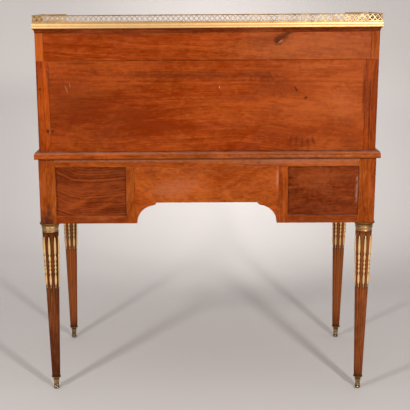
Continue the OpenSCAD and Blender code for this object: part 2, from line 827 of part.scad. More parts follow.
// The fitted unit behind the fall, in separate boards
module pigeonholes() {
    x = nest_x;
    t = nest_t;
    y0 = nest_y0;
    y1 = nest_y1;
    z0 = upper_z;
    hole_w = (2 * (x - t) - (nest_holes - 1) * t) / nest_holes;
    ear_y = axis_y + hub_r + 4;
    g = joint_gap;
    shelf_z1 = nest_shelf_z + t;
    color(inner_wood) {
        // The bottom reaches out to rest on the waist rails, behind the pivots
        translate([0, 0, z0]) linear_extrude(t) polygon([
            [-x, y0], [x, y0], [x, ear_y], [upper_in_x, ear_y], [upper_in_x, y1],
            [-upper_in_x, y1], [-upper_in_x, ear_y], [-x, ear_y]
        ]);
        both_sides() block([x - t, y0, z0 + t + g], [x, y1, nest_z1 - t - g]);
        block([-x, y0, nest_z1 - t], [x, y1, nest_z1]);
        block([-x + t + g, y1 - t, z0 + t + g], [x - t - g, y1, nest_z1 - t - g]);
        block([-x + t + g, y0, nest_shelf_z], [x - t - g, y1 - t - g, shelf_z1]);
        both_sides() translate([nest_drawer_w / 2, 0, 0])
            block([0, y0, z0 + t + g], [t, y1 - t - g, nest_shelf_z - g]);
        for (i = [1:nest_holes - 1]) translate([-x + t + i * hole_w + (i - 1) * t, 0, 0])
            block([0, y0, shelf_z1 + g], [t, y1 - t - g, nest_z1 - t - g]);
    }
}

// Drawers
// Front, two sides, back and bottom of a drawer that fills the opening
// from x0 to x1 and z0 to z1, with its front at y
module drawer(x0, x1, z0, z1, y, depth, ft, st) {
    a = x0 + drawer_gap;
    b = x1 - drawer_gap;
    low = z0 + drawer_rest;
    high = z1 - drawer_top_gap;
    side_top = high - drawer_side_drop;
    floor_z = low + drawer_bottom_rise;
    floor_z1 = floor_z + drawer_bottom_t;
    g = joint_gap;
    color(wood) block([a, y, low], [b, y + ft, high]);
    color(inner_wood) {
        block([a, y + ft + g, low], [a + st, y + depth, side_top]);
        block([b - st, y + ft + g, low], [b, y + depth, side_top]);
        block([a + st + g, y + ft + g, floor_z], [b - st - g, y + depth, floor_z1]);
        block([a + st + g, y + depth - st, floor_z1 + g], [b - st - g, y + depth, side_top]);
    }
}

// Beading, knobs and keyhole plate on a front
module fittings(x0, x1, z0, z1, y, knob_out, d, plate = true) {
    a = x0 + drawer_gap + bead_inset;
    b = x1 - drawer_gap - bead_inset;
    low = z0 + bead_inset;
    high = z1 - bead_inset;
    t = bead_t;
    w = bead_w;
    g = joint_gap;
    xm = (x0 + x1) / 2;
    zm = (z0 + z1) / 2;
    color(gilt) {
        block([a, y - t, low], [b, y, low + w]);
        block([a, y - t, high - w], [b, y, high]);
        block([a, y - t, low + w + g], [a + w, y, high - w - g]);
        block([b - w, y - t, low + w + g], [b, y, high - w - g]);
        for (sx = [-1, 1]) on_front(xm + sx * knob_out, y, zm) knob(d);
    }
    if (plate) on_front(xm, y, zm) keyhole_plate(15);
}

// Top row
row_front_y = row_y0 + front_recess;
row_drawer_d = back_in_y - row_y0 - 6;
row_knob_d = small_knob_d + 2;
function row_x0(i) = -ux + row_end_t + i * (row_bay_w + row_divider_t);
module top_drawer(i) {
    drawer(row_x0(i), row_x0(i) + row_bay_w, row_drawer_z, row_top_z, row_front_y, row_drawer_d,
           row_front_t, row_side_t);
}
module top_drawer_fittings(i) {
    fittings(row_x0(i), row_x0(i) + row_bay_w, row_drawer_z, row_top_z, row_front_y,
             0.3 * row_bay_w, row_knob_d);
}
module top_drawer_left() { top_drawer(0); }
module top_drawer_centre() { top_drawer(1); }
module top_drawer_right() { top_drawer(2); }
module top_drawer_left_fittings() { top_drawer_fittings(0); }
module top_drawer_centre_fittings() { top_drawer_fittings(1); }
module top_drawer_right_fittings() { top_drawer_fittings(2); }

// Small drawers under the pigeonholes
nest_front_y = nest_y0 + front_recess;
nest_drawer_d = nest_y1 - nest_y0 - nest_t - 4;
function nest_x0(i) = -nest_x + nest_t + i * (nest_drawer_w + nest_t);
module inner_drawer(i) {
    drawer(nest_x0(i), nest_x0(i) + nest_drawer_w, upper_z + nest_t, nest_shelf_z, nest_front_y,
           nest_drawer_d, nest_front_t, nest_side_t);
}
module inner_drawer_knob(i) {
    color(gilt) on_front(nest_x0(i) + nest_drawer_w / 2, nest_front_y,
                         (upper_z + nest_t + nest_shelf_z) / 2) knob(small_knob_d);
}
module inner_drawer_left() { inner_drawer(0); }
module inner_drawer_centre() { inner_drawer(1); }
module inner_drawer_right() { inner_drawer(2); }
module inner_drawer_left_knob() { inner_drawer_knob(0); }
module inner_drawer_centre_knob() { inner_drawer_knob(1); }
module inner_drawer_right_knob() { inner_drawer_knob(2); }

// Drawers of the lower case
front_y = -y_out + front_recess;
front_knob_d = knob_d - 3;
low_z1 = opening_z0 + half_opening_h;
high_z0 = low_z1 + mid_rail_h;
pedestal_knob_out = 0.27 * (post_in_x - pedestal_x);

module centre_drawer() {
    drawer(-knee_x, knee_x, centre_z0, opening_z1, front_y, deep_drawer_d, front_t, drawer_side_t);
}
module centre_drawer_fittings() {
    fittings(-knee_x, knee_x, centre_z0, opening_z1, front_y, 0.3 * knee_w, front_knob_d);
}
module left_upper_drawer() {
    drawer(-post_in_x, -pedestal_x, high_z0, opening_z1, front_y, deep_drawer_d, front_t,
           drawer_side_t);
}
module left_upper_drawer_fittings() {
    fittings(-post_in_x, -pedestal_x, high_z0, opening_z1, front_y, pedestal_knob_out, front_knob_d);
}
module left_lower_drawer() {
    drawer(-post_in_x, -pedestal_x, opening_z0, low_z1, front_y, deep_drawer_d, front_t,
           drawer_side_t);
}
module left_lower_drawer_fittings() {
    fittings(-post_in_x, -pedestal_x, opening_z0, low_z1, front_y, pedestal_knob_out, front_knob_d);
}
// One deep drawer whose front is dressed as two
module right_deep_drawer() {
    drawer(pedestal_x, post_in_x, opening_z0, opening_z1, front_y, deep_drawer_d, front_t,
           drawer_side_t);
}
module right_deep_drawer_fittings() {
    fittings(pedestal_x, post_in_x, opening_z0, low_z1, front_y, pedestal_knob_out, front_knob_d,
             false);
    fittings(pedestal_x, post_in_x, high_z0, opening_z1, front_y, pedestal_knob_out, front_knob_d);
}

leg_front_left();
leg_front_right();
leg_back_left();
leg_back_right();
leg_collars();
flute_inlays();
feet();
back_rails();
back_panels();
back_centre_board();
lower_side_left();
lower_side_right();
kneehole_sides();
pedestal_bottoms();
front_rails();
front_apron();
drawer_runners();
bed_board();
waist_frame();
upper_side_left();
upper_side_right();
upper_back_stiles();
upper_back_panel();
ledge_board();
top_row_uprights();
top_row_back();
cornice();
marble_top();
top_band();
gallery();
pivot_pins();
pigeonholes();
writing_slide();
slide_leather();
slide_knobs();
cylinder_fall();
fall_arms();
fall_knobs();
fall_beading();
fall_lock();
top_drawer_left();
top_drawer_left_fittings();
top_drawer_centre();
top_drawer_centre_fittings();
top_drawer_right();
top_drawer_right_fittings();
inner_drawer_left();
inner_drawer_left_knob();
inner_drawer_centre();
inner_drawer_centre_knob();
inner_drawer_right();
inner_drawer_right_knob();
centre_drawer();
centre_drawer_fittings();
left_upper_drawer();
left_upper_drawer_fittings();
left_lower_drawer();
left_lower_drawer_fittings();
right_deep_drawer();
right_deep_drawer_fittings();
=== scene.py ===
"""The finished look of a cylinder desk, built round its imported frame.

Metres. The origin is on the floor under the middle of the desk, +Z is up, the sitter is at -Y
and the back faces +Y, so +X is on the left of the view from behind.
"""

import json
import math
import random

import bmesh
import bpy
from bpy.props import FloatProperty, FloatVectorProperty, IntProperty, PointerProperty
from bpy.types import Operator, Panel, PropertyGroup
from mathutils import Matrix, Vector

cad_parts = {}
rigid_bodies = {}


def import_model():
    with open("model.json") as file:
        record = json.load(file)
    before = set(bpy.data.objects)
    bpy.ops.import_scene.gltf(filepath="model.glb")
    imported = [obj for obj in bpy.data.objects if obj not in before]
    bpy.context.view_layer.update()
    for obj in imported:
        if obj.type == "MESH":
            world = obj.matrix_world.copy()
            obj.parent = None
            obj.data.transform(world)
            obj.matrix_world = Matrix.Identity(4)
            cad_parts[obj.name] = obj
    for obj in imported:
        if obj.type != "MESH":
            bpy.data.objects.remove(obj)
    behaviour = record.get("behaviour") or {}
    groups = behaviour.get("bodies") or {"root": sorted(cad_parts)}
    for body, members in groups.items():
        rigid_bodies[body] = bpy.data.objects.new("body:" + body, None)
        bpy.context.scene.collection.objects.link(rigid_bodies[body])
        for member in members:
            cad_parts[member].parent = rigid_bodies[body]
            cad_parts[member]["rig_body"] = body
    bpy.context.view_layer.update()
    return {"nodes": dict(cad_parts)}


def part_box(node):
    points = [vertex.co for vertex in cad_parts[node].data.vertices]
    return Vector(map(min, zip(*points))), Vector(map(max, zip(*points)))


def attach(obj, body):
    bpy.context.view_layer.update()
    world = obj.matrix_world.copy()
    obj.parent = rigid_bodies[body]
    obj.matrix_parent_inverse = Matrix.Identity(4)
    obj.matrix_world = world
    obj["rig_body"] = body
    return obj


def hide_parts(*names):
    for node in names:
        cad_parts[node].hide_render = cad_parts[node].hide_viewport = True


bl_info = {
    "name": "Cylinder desk",
    "version": (1, 0, 0),
    "blender": (4, 5, 0),
    "location": "View3D > Sidebar > Desk",
    "description": "Builds a cylinder desk on fluted legs and the stage it stands on",
    "category": "Object",
}

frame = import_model()
parts = frame["nodes"]


# Settings


def colour(name, text, value):
    """A colour that the user can change."""
    return FloatVectorProperty(
        name=name, description=text, subtype="COLOR", size=3, min=0.0, max=1.0, default=value
    )


def length(name, text, value, low=0.0, high=3.0):
    """A length in metres that the user can change."""
    return FloatProperty(
        name=name, description=text, default=value, min=low, max=high, unit="LENGTH", precision=5
    )


def share(name, text, value):
    """A number from 0 to 1 that the user can change."""
    return FloatProperty(
        name=name, description=text, default=value, min=0.0, max=1.0, subtype="FACTOR"
    )


def degrees(name, text, value):
    """An angle that the user can change."""
    return FloatProperty(name=name, description=text, default=math.radians(value), subtype="ANGLE")


def power(name, text, watts):
    """A lamp's power that the user can change."""
    return FloatProperty(name=name, description=text, default=watts, min=0.0, unit="POWER")


class DeskWood(PropertyGroup):
    """Colours and finish of the timber"""

    frame_light: colour("Frame, light", "Light figure of the frame's mahogany", (0.405, 0.082, 0.011))
    frame_dark: colour("Frame, dark", "Dark figure of the frame's mahogany", (0.175, 0.025, 0.002))
    board_light: colour("Back board, light", "Light figure of the upper back", (0.362, 0.06, 0.008))
    board_dark: colour("Back board, dark", "Dark figure of the upper back", (0.188, 0.02, 0.0003))
    panel_light: colour("Panels, light", "Light figure of the sunk back panels", (0.235, 0.042, 0.008))
    panel_dark: colour("Panels, dark", "Dark figure of the sunk back panels", (0.088, 0.011, 0.0008))
    leg_light: colour("Legs, light", "Light figure of the turned legs", (0.33, 0.085, 0.022))
    leg_dark: colour("Legs, dark", "Dark figure of the turned legs", (0.11, 0.026, 0.008))
    oak_light: colour("Oak, light", "Light figure of the oak inside", (0.47, 0.272, 0.122))
    oak_dark: colour("Oak, dark", "Dark figure of the oak inside", (0.225, 0.11, 0.041))
    polish: share("Polish", "How much clear polish lies on the wood", 0.03)
    arris: length("Arris", "Rounding of the boards' edges", 0.0006, 0.0, 0.004)


class DeskMetal(PropertyGroup):
    """Colours and finish of the metal"""

    gold: colour("Gilding", "Clean gilt brass", (0.98, 0.62, 0.27))
    tarnish: colour("Tarnish", "Brass where the gilding has dulled", (0.42, 0.2, 0.06))
    iron: colour("Iron", "Blackened iron", (0.06, 0.055, 0.05))
    roughness: share("Roughness", "Roughness of clean gilding", 0.42)


class DeskTop(PropertyGroup):
    """Colours of the stone and the leather"""

    stone: colour("Stone", "Ground colour of the marble", (0.74, 0.72, 0.69))
    vein: colour("Veins", "Colour of the marble's veins", (0.36, 0.35, 0.35))
    hide: colour("Leather", "Colour of the leather", (0.03, 0.085, 0.045))
    tooling: colour("Tooling", "Gold of the tooled border", (0.62, 0.42, 0.15))


class DeskLegs(PropertyGroup):
    """Sizes of the legs and their brass"""

    flutes: IntProperty(name="Flutes", description="Flutes round one leg", default=8, min=6, max=14)
    turn: degrees("Turn", "Turn of the flutes, mirrored from left to right", 6)
    top_r: length("Top radius", "Radius under the collar", 0.025)
    bottom_r: length("Bottom radius", "Radius over the foot", 0.0128)
    foot_h: length("Foot height", "Height of the brass foot", 0.044)
    shaft_top: length("Shaft top", "Height of the collar's lower edge", 0.519)
    post_z: length("Post height", "Height at which the square post starts", 0.547)
    flute_low: length("Flutes' low end", "Height of the flutes' lower ends", 0.053)
    flute_high: length("Flutes' high end", "Height of the flutes' upper ends", 0.505)
    flute_top_r: length("Flute radius, top", "Radius of a flute at its upper end", 0.005)
    flute_bottom_r: length("Flute radius, bottom", "Radius of a flute at its lower end", 0.0027)
    neck_r: length("Neck radius", "Radius of the neck inside the collar", 0.018)
    tenon_r: length("Tenon radius", "Radius of the tenon in the foot", 0.006)
    tenon_l: length("Tenon length", "Length of the tenon in the foot", 0.026)
    inlay_l: length("Inlay length", "Length of the brass in each flute", 0.167)
    sunk: length("Sunk", "How far the brass strings' axes lie inside the shaft's surface", 0.0008)


class DeskGallery(PropertyGroup):
    """Sizes of the pierced gallery"""

    pitch: length("Unit width", "Width of one crossed unit", 0.015)
    height: length("Height", "Height of the gallery", 0.022)
    thickness: length("Thickness", "Thickness of the bars", 0.0016)
    bar: length("Bar width", "Width of a crossed bar", 0.0021)
    front_return: length("Return", "Length of the short returns at the front", 0.074)


class DeskStage(PropertyGroup):
    """Camera, light and floor"""

    camera_at: FloatVectorProperty(
        name="Camera", description="Where the camera stands", subtype="TRANSLATION", size=3,
        default=(0.0469, 3.0745, 1.2073),
    )
    camera_down: degrees("Tilt", "How far the camera looks down", 13.828)
    camera_turn: degrees("Turn", "How far the camera is turned from the desk's depth", 0.678)
    camera_roll: degrees("Roll", "Roll of the camera", -0.387)
    lens: FloatProperty(
        name="Lens", description="Focal length on a 36 mm wide sensor", default=83.42, min=10.0,
        max=300.0, unit="CAMERA",
    )
    shift: FloatVectorProperty(
        name="Shift", description="Sideways and upward shift of the picture", size=2,
        default=(0.0595, 0.0695),
    )
    floor: colour("Floor", "Colour of the floor and backdrop", (0.625, 0.588, 0.573))
    key_power: power("Left light", "Power of the soft light on the camera's left", 20.4)
    fill_power: power("Right light", "Power of the soft light on the camera's right", 46.0)
    back_power: power("Backdrop light", "Power of the light over the backdrop", 4.6)
    wall_power: power("Wall light", "Power of the light behind the desk, low on the backdrop", 0.72)
    side_power: power("Side lights", "Power of the right one of two lights beside the backdrop", 1.6)
    sky: FloatProperty(name="Sky", description="Strength of the light from all round", default=0.58)
    sky_gloss: share("Sky in gloss", "How bright the surroundings are in reflections", 0.2)


# Materials


def toned(tint, *by):
    """A colour made darker or lighter, by one factor or by one for each channel."""
    return tuple(c * k for c, k in zip(tint, by * 3))


def tints(kind):
    """The light and the dark colour of a wood."""
    wood = bpy.context.scene.desk_wood
    return [tuple(getattr(wood, f"{kind}_{end}")) for end in ("light", "dark")]


class Finish:
    """Adds and joins the nodes of one material."""

    def __init__(self, name):
        self.material = bpy.data.materials.new(name)
        self.material.use_nodes = True
        self.tree = self.material.node_tree
        self.tree.nodes.clear()
        self.place = self.add("TexCoord").outputs["Object"]

    def add(self, kind, inputs=None, **settings):
        node = self.tree.nodes.new("ShaderNode" + kind)
        for key, value in settings.items():
            setattr(node, key, value)
        for key, value in (inputs or {}).items():
            self.feed(node.inputs[key], value)
        return node

    def feed(self, socket, value):
        if isinstance(value, bpy.types.NodeSocket):
            self.tree.links.new(value, socket)
        elif socket.type == "RGBA" and len(value) == 3:
            socket.default_value = (*value, 1.0)
        else:
            socket.default_value = value

    def moved(self, vector, scale=(1, 1, 1), turn=(0, 0, 0), shift=(0, 0, 0)):
        inputs = {"Vector": vector, "Scale": scale, "Rotation": turn, "Location": shift}
        return self.add("Mapping", inputs).outputs[0]

    def noise(self, vector, scale=1.0, detail=2.0, roughness=0.5, distortion=0.0):
        inputs = {
            "Vector": vector, "Scale": scale, "Detail": detail, "Roughness": roughness,
            "Distortion": distortion,
        }
        return self.add("TexNoise", inputs).outputs["Fac"]

    def figure(self, place, scale, detail=2.0, roughness=0.5, distortion=0.0, shift=(0, 0, 0)):
        """Noise drawn out by a scale for each axis."""
        return self.noise(self.moved(place, scale, shift=shift), 1.0, detail, roughness, distortion)

    def absolute(self, value):
        return self.maths("ABSOLUTE", value)

    def maths(self, operation, a, b=0.0, clamp=False):
        return self.add("Math", {0: a, 1: b}, operation=operation, use_clamp=clamp).outputs[0]

    def times(self, a, b, clamp=False):
        return self.maths("MULTIPLY", a, b, clamp)

    def plus(self, a, b, clamp=False):
        return self.maths("ADD", a, b, clamp)

    def minus(self, a, b):
        return self.maths("SUBTRACT", a, b)

    def span(self, value, low, high, to_low=0.0, to_high=1.0, smooth=False):
        """A value mapped from one span to another."""
        inputs = {
            "Value": value, "From Min": low, "From Max": high, "To Min": to_low, "To Max": to_high,
        }
        kind = "SMOOTHSTEP" if smooth else "LINEAR"
        return self.add("MapRange", inputs, interpolation_type=kind).outputs[0]

    def mix(self, factor, a, b, blend="MIX"):
        node = self.add("Mix", {0: factor, 6: a, 7: b}, data_type="RGBA", blend_type=blend)
        return node.outputs[2]

    def ramp(self, value, stops):
        node = self.add("ValToRGB", {"Fac": value})
        band = node.color_ramp
        while len(band.elements) < len(stops):
            band.elements.new(0.5)
        for element, (position, tint) in zip(band.elements, stops):
            element.position = position
            element.color = (*tint, 1.0)
        return node.outputs["Color"]

    def mark(self, name):
        return self.add("Attribute", attribute_name=name).outputs["Fac"]

    def spot(self, centre, radii, ragged=0.0, turn=0.0):
        """1 at a place (x, z) of the back, falling to 0 at an ellipse round it."""
        x, z = centre
        turned = self.moved(self.moved(self.place, shift=(-x, 0, -z)), turn=(0, turn, 0))
        away = self.away(self.moved(turned, scale=(1 / radii[0], 0.0, 1 / radii[1])))
        if ragged:
            away = self.plus(away, self.span(self.noise(self.place, 90.0), 0, 1, -ragged, ragged))
        return self.span(away, 0.15, 1.0, 1.0, 0.0, smooth=True)

    def away(self, place):
        """The distance from the origin."""
        return self.add("VectorMath", {0: place}, operation="LENGTH").outputs["Value"]

    def vector(self, operation, a, b):
        return self.add("VectorMath", {0: a, 1: b}, operation=operation).outputs[0]

    def bent(self, place, scale, amount, stretch=(1, 1, 1)):
        """A place pushed about by soft noise."""
        noise = self.add(
            "TexNoise", {"Vector": self.moved(place, scale=stretch), "Scale": scale, "Detail": 2.0}
        )
        push = self.vector("ADD", noise.outputs["Color"], (-0.5, -0.5, -0.5))
        return self.vector("ADD", place, self.vector("MULTIPLY", push, (amount, amount, amount)))

    def rings(self, place, density):
        """Uneven rings round the origin."""
        inputs = {"W": self.away(place), "Scale": density, "Detail": 3.0, "Roughness": 0.6}
        return self.add("TexNoise", inputs, noise_dimensions="1D").outputs["Fac"]

    def blend(self, factor, a, b):
        """A mean of two values."""
        return self.add("Mix", {0: factor, 2: a, 3: b}, data_type="FLOAT").outputs[0]

    def bump(self, height, strength, distance, normal=None):
        inputs = {"Height": height, "Strength": strength, "Distance": distance}
        if normal is not None:
            inputs["Normal"] = normal
        return self.add("Bump", inputs).outputs["Normal"]

    def surface(self, **inputs):
        names = {key.replace("_", " ").title().replace("Ior", "IOR"): v for key, v in inputs.items()}
        shader = self.add("BsdfPrincipled", names)
        self.add("OutputMaterial", {"Surface": shader.outputs[0]})
        return self.material


GRAIN_TURNS = {"x": (0, 0, 0), "y": (0, 0, -math.pi / 2), "z": (0, math.pi / 2, 0)}


def timber(
    name, light, dark, along="x", heart=(0.05, 0.11), lean=0.1, density=110.0, waver=1.0,
    figure=(0.8, 0.55, 1.1, 1.0, 0.7), roughness=0.3, marks=(), arcs=None, loops=(), haze=0.22,
    foot=0.0, cast=(0.86, 1.1, 0.95),
):
    """Polished wood: year rings, streaks, fibres, pores, grime and painted shade in its corners,
    rubbed arrises with painted shade on some of them, and dust and painted sheen on what looks up.

    heart is where the tree's middle lies beside the board, and lean tips the rings into long
    tongues. figure weighs rings, streaks, fibres, clouds and mottle. arcs gives a place on the back
    that the rings go round instead, and loops are smaller places with rings of their own. marks are
    stains, knots and some painted light and shade on the back. haze is how much pale cloudy haze,
    partly bloom and partly painted sheen, lies on the wax, foot how dark the wood grows above the
    floor, and cast the hue of its cooler streaks.
    """
    wood = bpy.context.scene.desk_wood
    f = Finish(name)
    board = f.add("TexWhiteNoise", {"W": f.mark("board")}, noise_dimensions="1D").outputs["Color"]
    turned = f.moved(f.place, turn=GRAIN_TURNS[along])
    away = f.vector("ADD", board, (-0.5, -0.5, -0.5))
    grain = f.vector("ADD", turned, f.vector("MULTIPLY", away, (6.0, 0.07, 0.07)))

    if arcs:
        (cx, cz), squeeze = arcs
        place = f.bent(f.place, 7.0, 0.03 * waver)
        ring = f.rings(f.moved(place, scale=(squeeze, 0.2, 1), shift=(-cx * squeeze, 0, -cz)), density)
    else:
        place = f.bent(grain, 3.0, 0.05 * waver, (0.5, 1, 1))
        place = f.bent(place, 22.0, 0.006 * waver, (0.25, 1, 1))
        place = f.moved(place, turn=(0, 0.4 * lean, lean), shift=(0, *heart))
        ring = f.rings(f.moved(place, scale=(0, 1, 1)), density)
    for (cx, cz), squeeze, radii, tight in loops:
        around = f.bent(f.place, 16.0, 0.01)
        around = f.moved(around, scale=(squeeze, 0, 1), shift=(-cx * squeeze, 0, -cz))
        mask = f.spot((cx, cz), radii, ragged=0.2)
        ring = f.blend(mask, ring, f.rings(around, tight))
    fibre = f.figure(place, (11, 330, 330), 4.0, 0.62)
    streak = f.figure(place, (5.5, 52, 52), 4.0, 0.62, 0.7)
    mottle = f.figure(grain, (34, 58, 58), 3.0, 0.62, 1.0)
    cloud = f.figure(grain, (3.5, 10, 10), 2.5, 0.5, 0.8)
    pores = f.span(f.figure(grain, (30, 620, 620)), 0.58, 0.72)

    tone = f.plus(0.5, f.mark("tone"))
    for value, weight in zip((ring, streak, fibre, cloud, mottle), figure):
        tone = f.plus(tone, f.span(value, 0.0, 1.0, -weight / 2, weight / 2))
    middle = tuple(0.42 * a + 0.58 * b for a, b in zip(light, dark))
    tint = f.ramp(tone, [(0.18, dark), (0.48, middle), (0.82, light)])
    brown = f.figure(grain, (4, 15, 15), 3.0, 0.6, 0.5, shift=(3, 0, 0))
    tint = f.mix(f.span(brown, 0.42, 0.68, 0.0, 0.5), tint, cast, blend="MULTIPLY")
    tint = f.mix(f.times(pores, 0.38), tint, toned(dark, 0.35))
    for strength, shade, *where in marks:
        tint = f.mix(f.times(f.spot(*where), strength), tint, shade)
    # Darker in the hollows: grime and painted shade
    grime_and_shade = f.times(f.mark("hollow"), f.span(cloud, 0.3, 0.7, 0.6, 1.0), clamp=True)
    tint = f.mix(grime_and_shade, tint, toned(dark, 0.25))
    edge = f.noise(f.place, 26.0, 4.0)
    # Painted shade on some of the rounded arrises, paler rubbed wear on others
    arris_shade = f.times(f.mark("wear"), f.span(edge, 0.4, 0.56, 0.75, 0.0), clamp=True)
    tint = f.mix(arris_shade, tint, toned(dark, 0.45))
    rubbed = f.times(f.mark("wear"), f.span(edge, 0.52, 0.66, 0.0, 0.45), clamp=True)
    pale_tint = tuple(0.8 * c + added for c, added in zip(light, (0.055, 0.042, 0.03)))
    tint = f.mix(rubbed, tint, pale_tint)
    # Pale cloudy haze: bloom of the wax, partly painted sheen
    cloudy = f.figure(grain, (5, 11, 11), 5.0, 0.62, 1.0, shift=(0, 5, 0))
    tint = f.mix(f.span(cloudy, 0.5, 0.74, 0.0, haze), tint, pale_tint)
    upward = f.add("SeparateXYZ", {0: f.add("TexCoord").outputs["Normal"]}).outputs["Z"]
    # Paler on faces that look up: dust, and a painted sheen of the light from above
    dust_and_sheen = f.times(f.span(upward, 0.35, 0.95), f.span(edge, 0.35, 0.65, 0.08, 0.42))
    tint = f.mix(dust_and_sheen, tint, tuple(0.55 * c + 0.16 for c in light))
    if foot:
        # Darker towards the floor
        height = f.add("SeparateXYZ", {0: f.place}).outputs["Z"]
        ragged = f.span(edge, 0.3, 0.6, 0.4, 1.0)
        darker_low = f.times(f.span(height, 0.045, 0.11, foot, 0.0), ragged)
        tint = f.mix(darker_low, tint, toned(dark, 0.4))

    dull = f.span(f.figure(grain, (3, 9, 9), 3.0), 0.3, 0.7, -0.04, 0.07)
    rough = f.plus(dull, f.times(pores, 0.15))
    rough = f.plus(rough, roughness, clamp=True)
    relief = f.minus(f.times(fibre, 0.35), pores)
    normal = f.bump(f.noise(f.moved(grain, scale=(0.6, 1, 1)), 9.0, 1.0), 0.3, 0.0012)
    normal = f.bump(relief, 0.16, 0.00007, normal)
    return f.surface(
        base_color=tint, roughness=rough, normal=normal, specular_ior_level=0.03,
        coat_weight=wood.polish, coat_roughness=0.1,
    )


def metal(name, clean, dull, roughness, worn_share, solid=1.0):
    """Metal that is bright where it is rubbed and dull in its hollows; solid is how metallic it is."""
    f = Finish(name)
    cloud = f.noise(f.place, 34.0, 5.0, 0.6)
    fine = f.noise(f.place, 420.0, 3.0)
    age = f.span(cloud, 0.4, 0.72, 0.0, worn_share)
    age = f.plus(age, f.times(f.mark("hollow"), 1.1), clamp=True)
    tint = f.mix(age, clean, dull)
    speck = f.span(f.noise(f.place, 900.0, 1.0), 0.68, 0.78)
    tint = f.mix(f.times(speck, 0.35), tint, toned(dull, 0.3))
    rough = f.plus(roughness, f.times(age, 0.26))
    rough = f.plus(rough, f.span(fine, 0.3, 0.7, -0.03, 0.05), clamp=True)
    normal = f.bump(cloud, 0.22, 0.0009)
    normal = f.bump(fine, 0.25, 0.00012, normal)
    return f.surface(base_color=tint, metallic=solid, roughness=rough, normal=normal)


def marble(name):
    """White stone with grey veins and a cloudy ground."""
    top = bpy.context.scene.desk_top
    f = Finish(name)
    warp = f.add("TexNoise", {"Vector": f.place, "Scale": 3.0, "Detail": 4.0}).outputs["Color"]
    bent = f.vector("ADD", f.vector("MULTIPLY", warp, (0.35, 0.35, 0.35)), f.place)
    wide = f.noise(f.moved(bent, turn=(0, 0, 0.6), scale=(1, 2.4, 1)), 4.0, 6.0, 0.6)
    vein = f.absolute(f.minus(wide, 0.5))
    vein = f.span(vein, 0.0, 0.035, 1.0, 0.0, smooth=True)
    thin = f.absolute(f.minus(f.noise(bent, 14.0, 5.0, 0.65), 0.5))
    thin = f.span(thin, 0.0, 0.02, 0.5, 0.0, smooth=True)
    cloud = f.noise(bent, 5.0, 4.0)
    ground = f.mix(f.span(cloud, 0.35, 0.7), top.stone, toned(top.stone, 0.86))
    tint = f.mix(f.times(f.maths("MAXIMUM", vein, thin), 0.6), ground, top.vein)
    tint = f.mix(f.times(f.mark("hollow"), 0.5), tint, top.vein)
    rough = f.span(cloud, 0.3, 0.7, 0.16, 0.26)
    normal = f.bump(f.noise(f.place, 60.0, 3.0), 0.12, 0.0003)
    return f.surface(
        base_color=tint, roughness=rough, normal=normal, subsurface_weight=0.08,
        subsurface_scale=0.01, coat_weight=0.15, coat_roughness=0.1,
    )


def leather(name, low, high):
    """Leather with a fine grain and a gold border tooled a little inside its edge."""
    top = bpy.context.scene.desk_top
    f = Finish(name)
    middle = (low + high) / 2
    centred = f.moved(f.place, shift=(-middle.x, -middle.y, 0))
    parted = f.add("SeparateXYZ", {0: centred})
    inside = [
        f.minus(half, f.absolute(parted.outputs[axis]))
        for half, axis in (((high.x - low.x) / 2, "X"), ((high.y - low.y) / 2, "Y"))
    ]
    margin = f.maths("MINIMUM", *inside)
    along = f.plus(parted.outputs["X"], parted.outputs["Y"])
    beads = f.span(f.maths("SINE", f.times(along, 900.0)), -0.2, 0.4)
    lines = None
    for at, half, dotted in ((0.01, 0.0009, False), (0.0145, 0.0018, True), (0.019, 0.0009, False)):
        away = f.absolute(f.minus(margin, at))
        line = f.span(away, half * 0.7, half, 1.0, 0.0)
        if dotted:
            line = f.times(line, beads)
        lines = line if lines is None else f.maths("MAXIMUM", lines, line)
    rubbed = f.span(f.noise(f.place, 60.0, 4.0), 0.36, 0.5, 0.25, 1.0)
    lines = f.times(lines, rubbed)
    grain = f.add("TexVoronoi", {"Vector": f.place, "Scale": 700.0}, feature="DISTANCE_TO_EDGE")
    cells = f.span(grain.outputs["Distance"], 0.0, 0.12)
    cloud = f.noise(f.place, 5.0, 4.0)
    tint = f.mix(f.span(cloud, 0.35, 0.7), toned(top.hide, 0.7), toned(top.hide, 1.5))
    tint = f.mix(f.times(f.minus(1.0, cells), 0.3), tint, toned(top.hide, 0.3))
    tint = f.mix(lines, tint, top.tooling)
    rough = f.span(cloud, 0.3, 0.7, 0.42, 0.58)
    relief = f.minus(f.times(cells, 0.4), lines)
    normal = f.bump(relief, 0.5, 0.0003)
    shine = f.times(lines, 0.8)
    return f.surface(base_color=tint, metallic=shine, roughness=rough, normal=normal)


def gilding(name, gold, dull, roughness, worn_share, solid=1.0):
    """Gilt brass with its clean and dull colours toned, made once."""
    m = bpy.context.scene.desk_metal
    if name not in bpy.data.materials:
        metal(name, toned(m.gold, gold), toned(m.tarnish, dull), roughness, worn_share, solid=solid)
    return bpy.data.materials[name]


def brass(worn=False):
    """The gilt brass of most fittings, bright or worn."""
    rough = bpy.context.scene.desk_metal.roughness
    if worn:
        return [gilding("worn_gilding", 0.82, 0.55, rough - 0.06, 0.75)]
    return [gilding("bright_gilding", 1.0, 1.0, rough, 0.25)]


def iron_and_keyhole_shade():
    """Blackened iron, made once; on the keyholes it is painted shade in their openings."""
    if "black_iron" not in bpy.data.materials:
        iron = tuple(bpy.context.scene.desk_metal.iron)
        metal("black_iron", toned(iron, 2.4), iron, 0.45, worn_share=0.9)
    return bpy.data.materials["black_iron"]


OAK = {
    "density": 160.0, "roughness": 0.5, "figure": (1.1, 0.6, 0.9, 0.5, 0.4), "haze": 0.05,
    "cast": (1.06, 0.95, 0.86),
}


def woods(kind):
    """The three materials of a wood, for boards whose grain runs along X, Y and Z."""
    made = []
    for axis in "xyz":
        name = f"{kind}_wood_{axis}"
        if name not in bpy.data.materials:
            timber(name, *tints(kind), axis, **(OAK if kind == "oak" else {}))
        made.append(bpy.data.materials[name])
    return made


# Shapes


